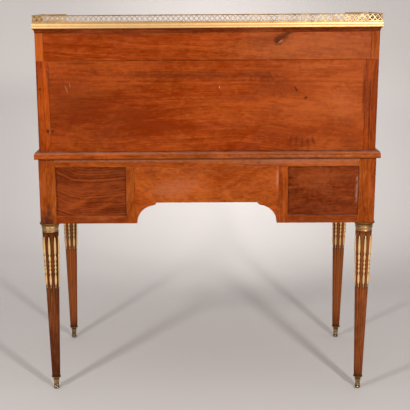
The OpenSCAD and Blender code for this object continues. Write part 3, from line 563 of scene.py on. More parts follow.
def start(node=None):
    """An empty mesh, or a copy of a node's with its triangles merged into flat faces."""
    bm = bmesh.new()
    if node:
        bm.from_mesh(parts[node].data)
        for layer in list(bm.loops.layers.uv):
            bm.loops.layers.uv.remove(layer)
    for name in ("wear", "board", "tone"):
        bm.faces.layers.float.new(name)
    bm.verts.layers.float.new("hollow")
    if node:
        for face in bm.faces:
            face.material_index = 0
        for edge in bm.edges:
            edge.smooth = True
        bmesh.ops.remove_doubles(bm, verts=bm.verts, dist=2e-5)
        bmesh.ops.dissolve_limit(bm, angle_limit=math.radians(0.3), verts=bm.verts, edges=bm.edges)
    return bm


def shells(bm):
    """The faces of each separate solid in a mesh."""
    bm.faces.ensure_lookup_table()
    seen = set()
    groups = []
    for face in bm.faces:
        if face.index in seen:
            continue
        seen.add(face.index)
        group = [face]
        for item in group:
            for edge in item.edges:
                for other in edge.link_faces:
                    if other.index not in seen:
                        seen.add(other.index)
                        group.append(other)
        groups.append(group)
    return groups


def corners(faces):
    """Lowest and highest corner of a group of faces."""
    points = [v.co for face in faces for v in face.verts]
    low = Vector([min(p[i] for p in points) for i in range(3)])
    high = Vector([max(p[i] for p in points) for i in range(3)])
    return low, high


def soften(bm, width, angle=30.0, segments=2, edges=None):
    """Rounds the sharp edges of a mesh, and marks the new strips for rubbed wear and painted shade.

    A strip's border stays a crease, so that the flat faces beside it are shaded flat.
    """
    sharp = edges or [
        e for e in bm.edges if len(e.link_faces) == 2 and e.calc_face_angle(0.0) > math.radians(angle)
    ]
    made = bmesh.ops.bevel(
        bm, geom=sharp, offset=width, offset_type="OFFSET", affect="EDGES", segments=segments,
        profile=0.5, material=-1, clamp_overlap=True,
    )
    strips = set(made["faces"])
    wear = bm.faces.layers.float["wear"]
    for face in strips:
        face[wear] = 1.0
        for edge in face.edges:
            if any(other not in strips for other in edge.link_faces):
                edge.smooth = False
    return made["faces"]


def lay_grain(bm, name, tones=(), spread=0.1, materials=None, axes="xyz"):
    """Gives each solid its own piece of the tree, with the grain along the longest of some axes.

    materials may pick a group of three by the solid's corners, and returns its number.
    """
    draw = random.Random(name)
    board = bm.faces.layers.float["board"]
    tone = bm.faces.layers.float["tone"]
    for faces in shells(bm):
        low, high = corners(faces)
        along = max(("xyz".index(axis) for axis in axes), key=lambda i: (high - low)[i])
        place = draw.random()
        shade = draw.uniform(-spread, spread)
        for point, value in tones:
            if all(a - 1e-4 <= p <= b + 1e-4 for a, p, b in zip(low, point, high)):
                shade = value
        group = 3 * materials(low, high) if materials else 0
        for face in faces:
            face[board] = place
            face[tone] = shade
            face.material_index = group + along


def mark_hollows(bm, gain=2.2, passes=2):
    """Stores how deep each corner lies, for grime, painted shade and tarnish."""
    layer = bm.verts.layers.float["hollow"]
    for v in bm.verts:
        bends = [e.calc_face_angle_signed(0.0) for e in v.link_edges if len(e.link_faces) == 2]
        v[layer] = max(0.0, min(1.0, -gain * sum(bends) / max(1, len(bends))))
    for _ in range(passes):
        near = {v: [e.other_vert(v)[layer] for e in v.link_edges] for v in bm.verts}
        for v, values in near.items():
            v[layer] = 0.5 * v[layer] + 0.5 * sum(values) / max(1, len(values))


def linked(name, data, matrix=Matrix.Identity(4)):
    """A new object in the scene."""
    made = bpy.data.objects.new(name, data)
    made.matrix_world = matrix
    bpy.context.scene.collection.objects.link(made)
    return made


def finish(name, bm, node, materials, smooth=32.0):
    """Turns a mesh into a piece that stands for a node and moves with its body."""
    mesh = bpy.data.meshes.new(name)
    bm.normal_update()
    for edge in bm.edges:
        if len(edge.link_faces) == 2 and edge.calc_face_angle(0.0) > math.radians(smooth):
            edge.smooth = False
    for face in bm.faces:
        face.smooth = True
    bm.to_mesh(mesh)
    bm.free()
    for material in materials:
        mesh.materials.append(material)
    piece = linked(name, mesh)
    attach(piece, parts[node]["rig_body"])
    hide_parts(node)


def boards(
    node, kind="frame", arris=None, tones=(), materials=None, pick=None, axes="xyz",
):
    """The boards of one node, with rounded arrises and grain along each."""
    bm = start(node)
    lay_grain(bm, node, tones, materials=pick, axes=axes)
    soften(bm, bpy.context.scene.desk_wood.arris if arris is None else arris)
    finish(f"{node}_wood", bm, node, materials or woods(kind))


def paint(bm, choose):
    """Sets each face's material, by its number."""
    for face in bm.faces:
        face.material_index = choose(face)


def veneered(
    name, node, grains, tones=(), spread=0.0, choose=lambda face: 0, angle=30.0, smooth=32.0,
):
    """The boards of one node in woods of their own."""
    bm = start(node)
    lay_grain(bm, node, tones, spread)
    paint(bm, choose)
    soften(bm, bpy.context.scene.desk_wood.arris, angle=angle)
    finish(name, bm, node, grains, smooth)


def box(bm, low, high):
    """A closed box between two corners."""
    low, high = Vector(low), Vector(high)
    matrix = Matrix.Translation((low + high) / 2) @ Matrix.Diagonal((*(high - low), 1.0))
    return bmesh.ops.create_cube(bm, size=1.0, matrix=matrix)["verts"]


def cone(bm, segments, r0, r1, z0, z1, matrix=Matrix.Identity(4)):
    """A closed cone or cylinder on the Z axis, from one height to another."""
    return bmesh.ops.create_cone(
        bm, cap_ends=True, segments=segments, radius1=r0, radius2=r1, depth=z1 - z0,
        matrix=matrix @ Matrix.Translation((0, 0, (z0 + z1) / 2)),
    )["verts"]


def turned(bm, profile, matrix=Matrix.Identity(4), steps=48, lobes=0, depth=0.0):
    """A solid turned from (radius, height) points. lobes press petals into it."""
    new = [bm.verts.new((r, 0.0, z)) for r, z in profile]
    edges = [bm.edges.new(pair) for pair in zip(new, new[1:])]
    done = bmesh.ops.spin(
        bm, geom=new + edges, cent=(0, 0, 0), axis=(0, 0, 1), angle=2 * math.pi, steps=steps,
        use_merge=True,
    )
    ends = [v for e in edges if e.is_valid for v in e.verts]
    reached = connected(ends + [g for g in done["geom_last"] if isinstance(g, bmesh.types.BMVert)])
    if lobes:
        for v in reached:
            v.co.xy *= 1.0 + depth * math.cos(lobes * math.atan2(v.co.y, v.co.x))
    bmesh.ops.remove_doubles(bm, verts=reached, dist=1e-6)
    reached = connected(v for v in reached if v.is_valid)
    face_out(bm, touching(reached, "link_faces"))
    bmesh.ops.transform(bm, matrix=matrix, verts=reached)


def face_out(bm, faces):
    """Turns the faces of one closed solid outward, so that the space inside them is positive."""
    bmesh.ops.recalc_face_normals(bm, faces=faces)
    corner = faces[0].verts[0].co
    space = 0.0
    for face in faces:
        face.normal_update()
        space += face.calc_area() * face.normal.dot(face.calc_center_median() - corner)
    if space < 0:
        bmesh.ops.reverse_faces(bm, faces=faces)


def touching(verts, kind):
    """The faces or edges that touch some corners, each once."""
    return list(dict.fromkeys(item for v in verts for item in getattr(v, kind)))


def connected(verts):
    """All corners that edges join to some corners."""
    reached = dict.fromkeys(verts)
    queue = list(reached)
    for v in queue:
        for edge in v.link_edges:
            other = edge.other_vert(v)
            if other not in reached:
                reached[other] = None
                queue.append(other)
    return list(reached)


def stick(bm, ends):
    """A closed bar between two outlines with as many points."""
    first, last = ends
    verts = [bm.verts.new(p) for p in first]
    face = bm.faces.new(verts)
    made = bmesh.ops.extrude_face_region(bm, geom=[face], use_keep_orig=True)
    new = [g for g in made["geom"] if isinstance(g, bmesh.types.BMVert)]
    for v, p in zip(verts, last):
        across = next(e.other_vert(v) for e in v.link_edges if e.other_vert(v) in new)
        across.co = p
    everything = connected(verts)
    face_out(bm, touching(everything, "link_faces"))
    return everything


def bevelled_box(bm, low, high, width, segments=2):
    """A box with all its edges rounded."""
    return soften(bm, width, segments=segments, edges=touching(box(bm, low, high), "link_edges"))


def mm(points):
    """Points given in millimetres, in metres."""
    return [toned(p, 0.001) for p in points]


# Legs

# Painted light on each shaft, lighter or darker, and painted shade in the flutes behind the strings
SHAFT_PAINTED_LIGHT = {
    "leg_back_right": -0.12, "leg_back_left": 0.22, "leg_front_left": 0.4, "leg_front_right": 0.44,
}
STRING_SHADE = 0.8
STRING_SHADE_DEPTH = 0.0008


def shaft_radius(s, z):
    """A leg's radius at a height."""
    return s.bottom_r + (s.top_r - s.bottom_r) * (z - s.foot_h) / (s.shaft_top - s.foot_h)


def flute_radius(s, z):
    """A flute's radius at a height."""
    rise = (z - s.flute_low) / (s.flute_high - s.flute_low)
    return s.flute_bottom_r + (s.flute_top_r - s.flute_bottom_r) * rise


def darken(bm, inside):
    """Paints shade at some corners, by setting their hollow mark, which tarnish follows, to the full."""
    hollow = bm.verts.layers.float["hollow"]
    for v in bm.verts:
        if inside(v.co):
            v[hollow] = 1.0


def add_leg(node, sx):
    """One leg: a square post, a neck, a fluted shaft and a tenon."""
    s = bpy.context.scene.desk_legs
    bm = start()
    low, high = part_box(node)
    centre = (low + high) / 2
    cuts, land = 10, 4
    period = cuts + land
    around = s.flutes * period
    turn = -sx * s.turn

    cone(bm, around, s.bottom_r, s.top_r, s.foot_h, s.shaft_top)
    ends = (s.flute_low + flute_radius(s, s.flute_low), s.flute_high - flute_radius(s, s.flute_high))
    heights = []
    for end, side in zip(ends, (-1, 1)):
        reach = flute_radius(s, end)
        heights += [end + side * reach * math.sin(math.radians(a)) for a in (0, 25, 48, 66, 80, 90)]
    heights += [ends[0] + (ends[1] - ends[0]) * i / 10 for i in range(1, 10)]
    string_z = s.flute_high - s.inlay_l
    heights += [string_z - 0.004, string_z]
    for z in sorted(heights):
        bmesh.ops.bisect_plane(
            bm, geom=bm.verts[:] + bm.edges[:] + bm.faces[:], plane_co=(0, 0, z), plane_no=(0, 0, 1)
        )
    for v in bm.verts:
        z = v.co.z
        index = round(math.atan2(v.co.x, v.co.y) / (2 * math.pi / around)) % around
        flute, step = divmod(index, period)
        radius = shaft_radius(s, z)
        reach = flute_radius(s, min(max(z, s.flute_low), s.flute_high))
        half = math.asin(min(0.95, reach / radius))
        beyond = max(0.0, ends[0] - z, z - ends[1])
        middle = turn + flute * 2 * math.pi / s.flutes
        if step <= cuts:
            across = math.radians(-90 + 180 * step / cuts)
            offset = half * math.sin(across)
            deep = math.sqrt(max(0.0, reach ** 2 * (1 - math.sin(across) ** 2) - beyond ** 2))
        else:
            gap = 2 * math.pi / s.flutes - 2 * half
            offset = half + gap * (step - cuts) / land
            deep = 0.0
        angle = middle + offset
        v.co = ((radius - deep) * math.cos(angle), (radius - deep) * math.sin(angle), z)
    face_out(bm, bm.faces[:])
    # A gain below 0 puts painted shade on the flutes' arrises, so that each flute shows as a dark line
    mark_hollows(bm, gain=-5.5, passes=1)
    hollow = bm.verts.layers.float["hollow"]
    # Painted shade in the flutes behind the strings
    for v in bm.verts:
        behind_string = string_z - 0.001 < v.co.z < s.flute_high
        if behind_string and v.co.xy.length < shaft_radius(s, v.co.z) - STRING_SHADE_DEPTH:
            v[hollow] = max(v[hollow], STRING_SHADE)
    cone(bm, 40, s.neck_r, s.neck_r, s.shaft_top - 0.0005, s.post_z + 0.0005)
    cone(bm, 40, s.tenon_r, s.tenon_r, s.foot_h - s.tenon_l, s.foot_h + 0.0005)
    half = (high.x - low.x) / 2
    post = box(bm, (-half, -half, s.post_z), (half, half, high.z))
    upright = [e for e in touching(post, "link_edges") if abs(e.verts[0].co.z - e.verts[1].co.z) > 0.01]
    soften(bm, 0.0014, segments=3, edges=upright)
    bmesh.ops.translate(bm, verts=bm.verts, vec=(centre.x, centre.y, 0))
    lay_grain(bm, node, tones=[((centre.x, centre.y, 0.3), SHAFT_PAINTED_LIGHT[node])], spread=0.08)
    for faces in shells(bm):
        post_faces = corners(faces)[0].z > s.post_z - 0.001
        for face in faces:
            face.material_index = 0 if post_faces else 1
    finish(f"{node}_wood", bm, node, leg_woods(), smooth=38)


def leg_woods():
    """The posts' wood, stained over the left collar and with painted shade down its outer edges,
    and the darker wood of the turned legs.
    """
    if "post_wood" not in bpy.data.materials:
        dark_mark = (0.055, 0.014, 0.008)
        marks = [
            (0.92, dark_mark, (0.486, 0.553), (0.03, 0.048), 0.6),
            (0.45, dark_mark, (0.478, 0.59), (0.012, 0.03), 0.4),
            (0.35, (0.4, 0.09, 0.02), (-0.492, 0.655), (0.01, 0.06), 0.3),
            # Painted shade down the outer edges of the posts
            *((0.6, dark_mark, (side * 0.5095, 0.63), (0.006, 0.6), 0.3) for side in (-1, 1)),
        ]
        timber("post_wood", *tints("frame"), "z", marks=marks)
        timber("turned_wood", *tints("leg"), "z", density=160.0, roughness=0.34, haze=0.12, foot=0.7)
    return [bpy.data.materials[name] for name in ("post_wood", "turned_wood")]


class DESK_OT_legs(Operator):
    """Turn the four fluted legs with their corner posts"""

    bl_idname = "desk.legs"
    bl_label = "Legs"

    def execute(self, context):
        for row in ("front", "back"):
            for side, sx in (("left", -1), ("right", 1)):
                add_leg(f"leg_{row}_{side}", sx)
        return {"FINISHED"}


def leg_places():
    """The axes of the four legs, on the floor."""
    low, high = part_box("leg_back_right")
    x, y = (low.x + high.x) / 2, (low.y + high.y) / 2
    return [(sx, Matrix.Translation((sx * x, sy * y, 0))) for sy in (-1, 1) for sx in (-1, 1)]


def on_legs(profile, lift, steps):
    """One turned piece on each leg."""
    bm = start()
    for _, place in leg_places():
        turned(bm, profile, place @ Matrix.Translation((0, 0, lift)), steps=steps)
    mark_hollows(bm)
    return bm


class DESK_OT_leg_brass(Operator):
    """Turn the collars and feet, and set the darts and husks in the flutes"""

    bl_idname = "desk.leg_brass"
    bl_label = "Collars, inlays and feet"

    def execute(self, context):
        s = context.scene.desk_legs
        bore = 1000 * s.neck_r + 0.3
        collar = mm([
            (bore, 0), (24.0, 0), (24.9, 0.5), (25.5, 1.7), (25.1, 2.9), (24.1, 3.5), (24.2, 4.5),
            (24.4, 6.0), (24.9, 8.6), (25.1, 9.6), (26.2, 10.2), (26.7, 11.2), (26.7, 12.2),
            (26.2, 13.2), (25.4, 13.8), (25.4, 14.3), (26.4, 14.8), (27.1, 16.0), (27.1, 17.0),
            (26.5, 18.1), (25.6, 18.8), (25.6, 19.6), (26.0, 20.8), (27.4, 21.6), (29.8, 22.3),
            (31.0, 23.2), (31.5, 24.0), (31.5, 27.2), (31.0, 28), (bore, 28), (bore, 0),
        ])
        bm = on_legs(collar, s.shaft_top, steps=64)
        # Painted shade on the collars' flanges, under the case
        darken(bm, lambda p: p.z > s.shaft_top + 0.0213)
        finish("leg_collar_rings", bm, "leg_collars", brass(worn=True), smooth=40)

        bore = 1000 * s.tenon_r + 0.3
        floor = 1000 * (s.foot_h - s.tenon_l) - 0.3
        foot = mm([
            (0, 0), (6.4, 0), (7.6, 0.4), (8.5, 1.6), (9.0, 3.4), (8.9, 5.4), (8.1, 7.4), (7.0, 8.6),
            (6.5, 9.6), (6.6, 10.6), (7.8, 11.0), (8.4, 11.8), (8.4, 13.0), (7.8, 13.8), (7.6, 14.6),
            (8.1, 20.0), (8.9, 27.0), (9.4, 31.6), (9.3, 32.8), (8.4, 33.4), (8.1, 34.2), (8.6, 35.2),
            (9.8, 35.8), (10.6, 36.8), (10.5, 37.9), (11.4, 38.4), (13.8, 38.8), (14.8, 39.5),
            (15.0, 40.6), (14.8, 41.8), (13.9, 42.5), (13.4, 42.9), (13.2, 44), (bore, 44),
            (bore, floor), (0, floor),
        ])
        bm = on_legs(foot, 0.0, steps=48)
        # Painted shade in three necks of each foot
        necks = mm(((8.8, 10.8), (33.0, 38.6), (42.7, 44.5)))
        darken(bm, lambda p: any(low < p.z < high for low, high in necks))
        paint(bm, lambda face: int(max(v.co.z for v in face.verts) < 0.0088))
        bronze = gilding("dark_gilding", 0.55, 0.22, 0.18, 0.9)
        toe = metal("toe_bronze", (0.34, 0.27, 0.2), (0.06, 0.036, 0.018), 0.12, 0.5)
        finish("turned_feet", bm, "feet", [bronze, toe], smooth=40)
        self.inlays(s)
        return {"FINISHED"}

    def inlays(self, s):
        """Darts, husks and drops, one string in the upper part of each flute."""
        z0 = s.flute_high - s.inlay_l
        tilt = math.atan2(s.top_r - s.bottom_r, s.shaft_top - s.foot_h)

        # Height and width of the string, as shares of its length and of the flute
        string = [
            (0.0, 0.02), (0.012, 0.22), (0.03, 0.34), (0.055, 0.2), (0.066, 0.3), (0.085, 0.66),
            (0.13, 0.86), (0.18, 0.9), (0.23, 0.8), (0.268, 0.52), (0.285, 0.36), (0.3, 0.62),
            (0.325, 0.84), (0.35, 0.7), (0.368, 0.38), (0.382, 0.6), (0.405, 0.8), (0.428, 0.66),
            (0.444, 0.36), (0.46, 0.62), (0.482, 0.82), (0.505, 0.66), (0.52, 0.4), (0.54, 0.66),
            (0.58, 0.9), (0.605, 0.84), (0.628, 0.56), (0.642, 0.4), (0.656, 0.58), (0.69, 0.78),
            (0.74, 0.86), (0.8, 0.84), (0.86, 0.76), (0.92, 0.62), (0.968, 0.4), (1.0, 0.04),
        ]
        profile = [
            (1.04 * w * (flute_radius(s, z0 + t * s.inlay_l) - 0.0003), t * s.inlay_l) for t, w in string
        ]
        axis_r = shaft_radius(s, z0) - s.sunk
        lean = Matrix.Translation((axis_r, 0, z0)) @ Matrix.Rotation(tilt, 4, "Y")
        bm = start()
        for sx, place in leg_places():
            for i in range(s.flutes):
                spin = Matrix.Rotation(i * 2 * math.pi / s.flutes - sx * s.turn, 4, "Z")
                turned(bm, profile, place @ spin @ lean, steps=12, lobes=4, depth=0.05)
        mark_hollows(bm, gain=1.6, passes=1)
        gilt = gilding("string_gilding", 1.0, 0.5, 0.3, 0.3, solid=0.6)
        finish("husk_strings", bm, "flute_inlays", [gilt], smooth=60)


# Lower case

# Marks on the back: strength, colour, place (x, z), reach across and up, raggedness and any turn
# The darkest colour: knots, dirt in joints and painted shade lines
KNOT_AND_SHADE = (0.045, 0.011, 0.002)
PALE = (0.62, 0.34, 0.17)
DEEP = (0.115, 0.018, 0.004)
TOP_MARKS = [
    # Painted sheen: a paler, bluer patch over the half at -X
    (0.26, (0.46, 0.15, 0.055), (-0.33, 1.075), (0.36, 0.1), 0.5),
    (0.95, KNOT_AND_SHADE, (-0.206, 1.091), (0.017, 0.019), 0.6),
    (0.85, KNOT_AND_SHADE, (-0.222, 1.102), (0.034, 0.0125), 0.6, -0.67),
    (0.6, PALE, (-0.214, 1.088), (0.012, 0.003), 0.4, -0.6),
    (0.5, KNOT_AND_SHADE, (-0.24, 1.1115), (0.026, 0.006), 0.5, -0.15),
    (0.45, DEEP, (-0.19, 1.094), (0.08, 0.024), 0.4, -0.1),
    # Painted shade under the cornice at +X
    (0.3, DEEP, (0.25, 1.108), (0.3, 0.012), 0.4),
]
PANEL_MARKS = [
    # The first two are painted light: shade over the half at +X, a paler, bluer sheen over the half at -X
    (0.35, DEEP, (0.4, 0.9), (0.42, 0.26), 0.3),
    (0.22, (0.46, 0.115, 0.03), (-0.44, 0.93), (0.42, 0.26), 0.3),
    (0.55, PALE, (0.13, 1.055), (0.003, 0.0035), 0.3),
    (0.7, PALE, (-0.037, 0.957), (0.002, 0.007), 0.3, 0.1),
    (0.45, PALE, (0.414, 0.952), (0.002, 0.016), 0.5, -0.35),
    (0.35, PALE, (0.404, 0.966), (0.002, 0.009), 0.4, -0.2),
    (0.85, KNOT_AND_SHADE, (-0.262, 0.95), (0.0045, 0.014), 0.3, -0.5),
    (0.8, KNOT_AND_SHADE, (-0.291, 0.924), (0.008, 0.005), 0.4, -0.3),
    (0.4, DEEP, (0.357, 0.836), (0.012, 0.005), 0.4, 0.1),
    (0.6, DEEP, (0.385, 1.028), (0.09, 0.006), 0.5),
    (0.5, DEEP, (0.33, 1.004), (0.02, 0.014), 0.5, 0.2),
    (0.6, DEEP, (0.06, 0.992), (0.34, 0.018), 0.5, 0.02),
    (0.55, DEEP, (-0.18, 0.985), (0.11, 0.02), 0.6, 0.15),
    (0.45, DEEP, (-0.19, 0.955), (0.11, 0.03), 0.6, 0.2),
    (0.4, DEEP, (-0.1, 0.925), (0.15, 0.02), 0.6),
    (0.35, DEEP, (-0.38, 0.865), (0.07, 0.012), 0.6, 0.2),
    (0.3, (0.5, 0.125, 0.035), (-0.4, 0.905), (0.06, 0.07), 0.6),
    (0.3, (0.5, 0.125, 0.035), (-0.33, 1.018), (0.14, 0.01), 0.5),
    (0.35, DEEP, (-0.43, 0.8), (0.06, 0.034), 0.7),
    (0.35, DEEP, (0.4, 0.93), (0.12, 0.11), 0.5),
    # Painted shade in the shrunk gap beside the stile at -X
    (0.8, DEEP, (-0.462, 0.94), (0.0075, 0.11), 0.3),
    (0.3, DEEP, (-0.15, 1.0), (0.12, 0.012), 0.5, 0.05),
    (0.38, DEEP, (-0.29, 0.795), (0.06, 0.028), 0.9),
    *((0.75, DEEP, (-0.249 - 0.017 * i, 0.798 - 0.001 * i), (0.0055, 0.022), 0.4, 0.12 * (2 - i))
      for i in range(5)),
    (0.85, KNOT_AND_SHADE, (0.459, 0.829), (0.005, 0.006), 0.3),
]
STILE_MARKS = [
    # The first two are painted shade in the shrunk gap along this stile at -X
    (0.6, DEEP, (-0.47, 0.9), (0.008, 0.25), 0.2),
    (0.6, KNOT_AND_SHADE, (-0.48, 0.88), (0.005, 0.2), 0.3),
    (0.55, DEEP, (0.468, 0.97), (0.006, 0.08), 0.4),
    (0.9, KNOT_AND_SHADE, (0.473, 0.829), (0.0085, 0.0085), 0.3),
    (0.6, (0.52, 0.16, 0.06), (0.467, 0.826), (0.0035, 0.004), 0.3),
]


def joint_dirt_and_shade(node, strength=0.75):
    """Marks for dark lines along a board's four edges, on the back: dirt in the joints and painted shade,
    as under the cornice.
    """
    low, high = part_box(node)
    middle, half = (low + high) / 2, (high - low) / 2
    reach = 0.0022
    lines = []
    for edge in (middle - half, middle + half):
        lines.append((strength, KNOT_AND_SHADE, (edge.x, middle.z), (reach, 1.8 * half.z), 0.35))
        lines.append((strength, KNOT_AND_SHADE, (middle.x, edge.z), (1.8 * half.x, reach), 0.35))
    return lines


class DESK_OT_lower_case(Operator):
    """Build the lower case: rails, panels, the arched boards and what carries the drawers"""

    bl_idname = "desk.lower_case"
    bl_label = "Lower case"

    def execute(self, context):
        light, dark = tints("frame")
        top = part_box("back_rails")[1].z
        dusty = (0.36, 0.15, 0.085)
        amber = (0.36, 0.07, 0.012)
        rail = timber("back_rail_grain", light, dark, "x", marks=[
            (0.5, dusty, (0.0, top - 0.003), (1.2, 0.01), 0.5),
            (0.35, dusty, (-0.3, top - 0.01), (0.28, 0.014), 0.6),
            # Dark line under the waist: dirt in the joint and painted shade
            (0.45, KNOT_AND_SHADE, (0.0, top), (2.0, 0.003), 0.2),
            (0.5, DEEP, (0.35, 0.557), (0.17, 0.016), 0.3),
            (0.4, DEEP, (-0.35, 0.557), (0.17, 0.016), 0.3),
        ])
        shades = [((0.0, 0.261, 0.74), 0.0), ((0.35, 0.261, 0.56), -0.24), ((-0.35, 0.261, 0.56), -0.2)]
        veneered("back_rails_wood", "back_rails", [rail], shades, spread=0.05)
        curl = timber(
            "panel_curl", *tints("panel"), arcs=((0.3, 1.1), 1.0), density=170.0, waver=1.3,
            figure=(1.3, 0.5, 1.0, 0.9, 0.6), roughness=0.34,
            marks=[
                (0.34, amber, (0.4, 0.602), (0.06, 0.016), 0.4, -0.35),
                (0.3, amber, (0.37, 0.62), (0.08, 0.007), 0.4, -0.45),
                (0.34, amber, (0.32, 0.596), (0.05, 0.01), 0.4, -0.4),
                (0.26, amber, (0.29, 0.624), (0.045, 0.006), 0.4, -0.45),
                (0.3, DEEP, (0.43, 0.69), (0.05, 0.04), 0.9),
            ],
        )
        plain = timber(
            "panel_plain", *tints("panel"), heart=(0.02, 0.3), lean=0.05, density=80.0,
            figure=(0.45, 0.5, 0.85, 0.8, 1.0), roughness=0.34,
            marks=[
                # Painted sheen along the panel's edge at -X
                (0.5, (0.42, 0.22, 0.17), (-0.455, 0.65), (0.01, 0.075), 0.8),
                (0.25, (0.4, 0.085, 0.015), (-0.33, 0.68), (0.08, 0.06), 0.9),
            ],
        )
        veneered(
            "back_panel_boards", "back_panels", [curl, plain],
            choose=lambda face: int(face.calc_center_median().x < 0),
        )
        swirl = timber(
            "centre_swirl", toned(light, 0.98, 0.98, 1.05), toned(dark, 1.32), heart=(0.0, -0.6),
            lean=0.22, density=90.0, waver=1.8, figure=(0.5, 0.6, 1.3, 1.0, 1.1),
            marks=[
                (0.6, KNOT_AND_SHADE, (0.2295, 0.606), (0.004, 0.0025), 0.3, 0.2),
                (0.16, (0.42, 0.2, 0.13), (0.095, 0.655), (0.11, 0.04), 0.5, -0.15),
                (0.4, DEEP, (0.165, 0.69), (0.03, 0.024), 0.9, 0.5),
                (0.3, DEEP, (-0.06, 0.655), (0.06, 0.01), 0.9, -0.5),
                (0.45, (0.45, 0.2, 0.13), (-0.212, 0.68), (0.006, 0.05), 0.5),
            ],
            loops=[((0.2, 0.69), 0.55, (0.09, 0.05), 70.0)],
        )
        veneered(
            "centre_board_wood", "back_centre_board", [swirl], angle=24, smooth=24,
        )
        for node in ("lower_side_left", "lower_side_right", "front_rails"):
            boards(node)
        boards("kneehole_sides", axes="z")
        boards("front_apron")
        for node in ("pedestal_bottoms", "drawer_runners", "bed_board"):
            boards(node, "oak")
        return {"FINISHED"}


class DESK_OT_waist(Operator):
    """Shape the moulded belt round the case"""

    bl_idname = "desk.waist"
    bl_label = "Waist moulding"

    def execute(self, context):
        bm = start("waist_frame")
        lay_grain(bm, "waist_frame", spread=0.0)
        soften(bm, 0.0005, angle=42)
        mark_hollows(bm, gain=1.2, passes=0)
        low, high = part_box("waist_frame")
        pale = (0.4, 0.19, 0.11)
        # Pale strips along the top and low down at -X are painted sheen; dark lines at the bottom and top
        # edges are dirt in the joints and painted shade
        worn = [
            (0.24, pale, (0.0, high.z - 0.004), (2.0, 0.0035), 0.7),
            (0.3, pale, (-0.3, low.z + 0.008), (0.34, 0.004), 0.8),
            (0.8, KNOT_AND_SHADE, (0.0, low.z), (2.0, 0.0035), 0.3),
            (0.6, KNOT_AND_SHADE, (0.0, high.z), (2.0, 0.003), 0.6),
        ]
        grains = [timber(f"waist_grain_{axis}", *tints("frame"), axis, marks=worn) for axis in "xyz"]
        finish("waist_moulding", bm, "waist_frame", grains, smooth=24)
        return {"FINISHED"}


# Upper case and top


class DESK_OT_upper_case(Operator):
    """Build the upper case: quarter-round sides, the back, the ledge and the row above it"""

    bl_idname = "desk.upper_case"
    bl_label = "Upper case"

    def execute(self, context):
        light, dark = tints("board")
        red = [toned(tint, 1.0, 0.8, 0.6) for tint in tints("frame")]
        for node, shade, dark_mark in (("upper_side_left", 0.08, 0.2), ("upper_side_right", 0.02, 0.1)):
            low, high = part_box(node)
            middle = (low + high) / 2
            outer = high.x if high.x > 0 else low.x
            side = timber(f"{node}_grain", *red, "z", marks=[
                (dark_mark, DEEP, (middle.x, 0.9), (0.014, 0.4)),
                # Painted shade down the side's outer arris
                (0.7, DEEP, (outer, 0.9), (0.0065, 0.8)),
                (0.8, KNOT_AND_SHADE, (0.4925, 0.9535), (0.0065, 0.005), 0.3),
            ])
            veneered(f"{node}_wood", node, [side], [(middle, shade)], spread=0.1)
        boards("ledge_board")
        upright = timber("stile_wood", *red, "z", marks=STILE_MARKS)
        shades = [((0.474, 0.25, 0.9), 0.04), ((-0.474, 0.25, 0.9), 0.0)]
        veneered("back_stiles", "upper_back_stiles", [upright], shades, spread=0.1)
        big = timber(
            "upper_back_grain", light, dark, heart=(-0.16, -0.92), lean=0.05, density=120.0, waver=2.3,
            figure=(0.8, 0.85, 0.9, 1.5, 0.95), haze=0.13,
            marks=PANEL_MARKS + joint_dirt_and_shade("upper_back_panel"),
            loops=[
                ((0.345, 0.838), 0.32, (0.1, 0.045), 150.0), ((-0.35, 0.9), 0.25, (0.13, 0.06), 120.0),
                ((-0.3, 0.8), 0.8, (0.05, 0.03), 200.0),
            ],
        )
        small = timber(
            "row_back_grain", toned(light, 0.92), dark, heart=(-0.1, -1.35), lean=0.06, density=100.0,
            figure=(0.75, 0.85, 1.2, 0.9, 1.0), haze=0.13,
            marks=TOP_MARKS + joint_dirt_and_shade("top_row_back", 0.6),
        )
        for node, grain in (("upper_back_panel", big), ("top_row_back", small)):
            veneered(f"{node}_wood", node, [grain])
        shades = [((0.49, 0.257, 1.09), 0.22), ((-0.49, 0.257, 1.09), 0.08)]
        boards("top_row_uprights", axes="xz", tones=shades)
        return {"FINISHED"}


# A hair between mitred lengths, so that each is a solid of its own
MITRE_GAP = 5e-5


def mitred(bm, low, high, outline, inner):
    """Four mitred bars round a rectangle. outline holds (distance out, height) and inner how far in."""
    ring = [*outline, (-inner, outline[-1][1]), (-inner, outline[0][1])]
    edge = {-1: low, 1: high}
    for across, side in ((1, 1), (1, -1), (0, -1), (0, 1)):
        ends = []
        for sign in (-1, 1):
            points = []
            for out, z in ring:
                point = [0.0, 0.0, z]
                point[across] = edge[side][across] + side * out
                point[1 - across] = edge[sign][1 - across] + sign * (out - MITRE_GAP)
                points.append(point)
            ends.append(points)
        stick(bm, ends)


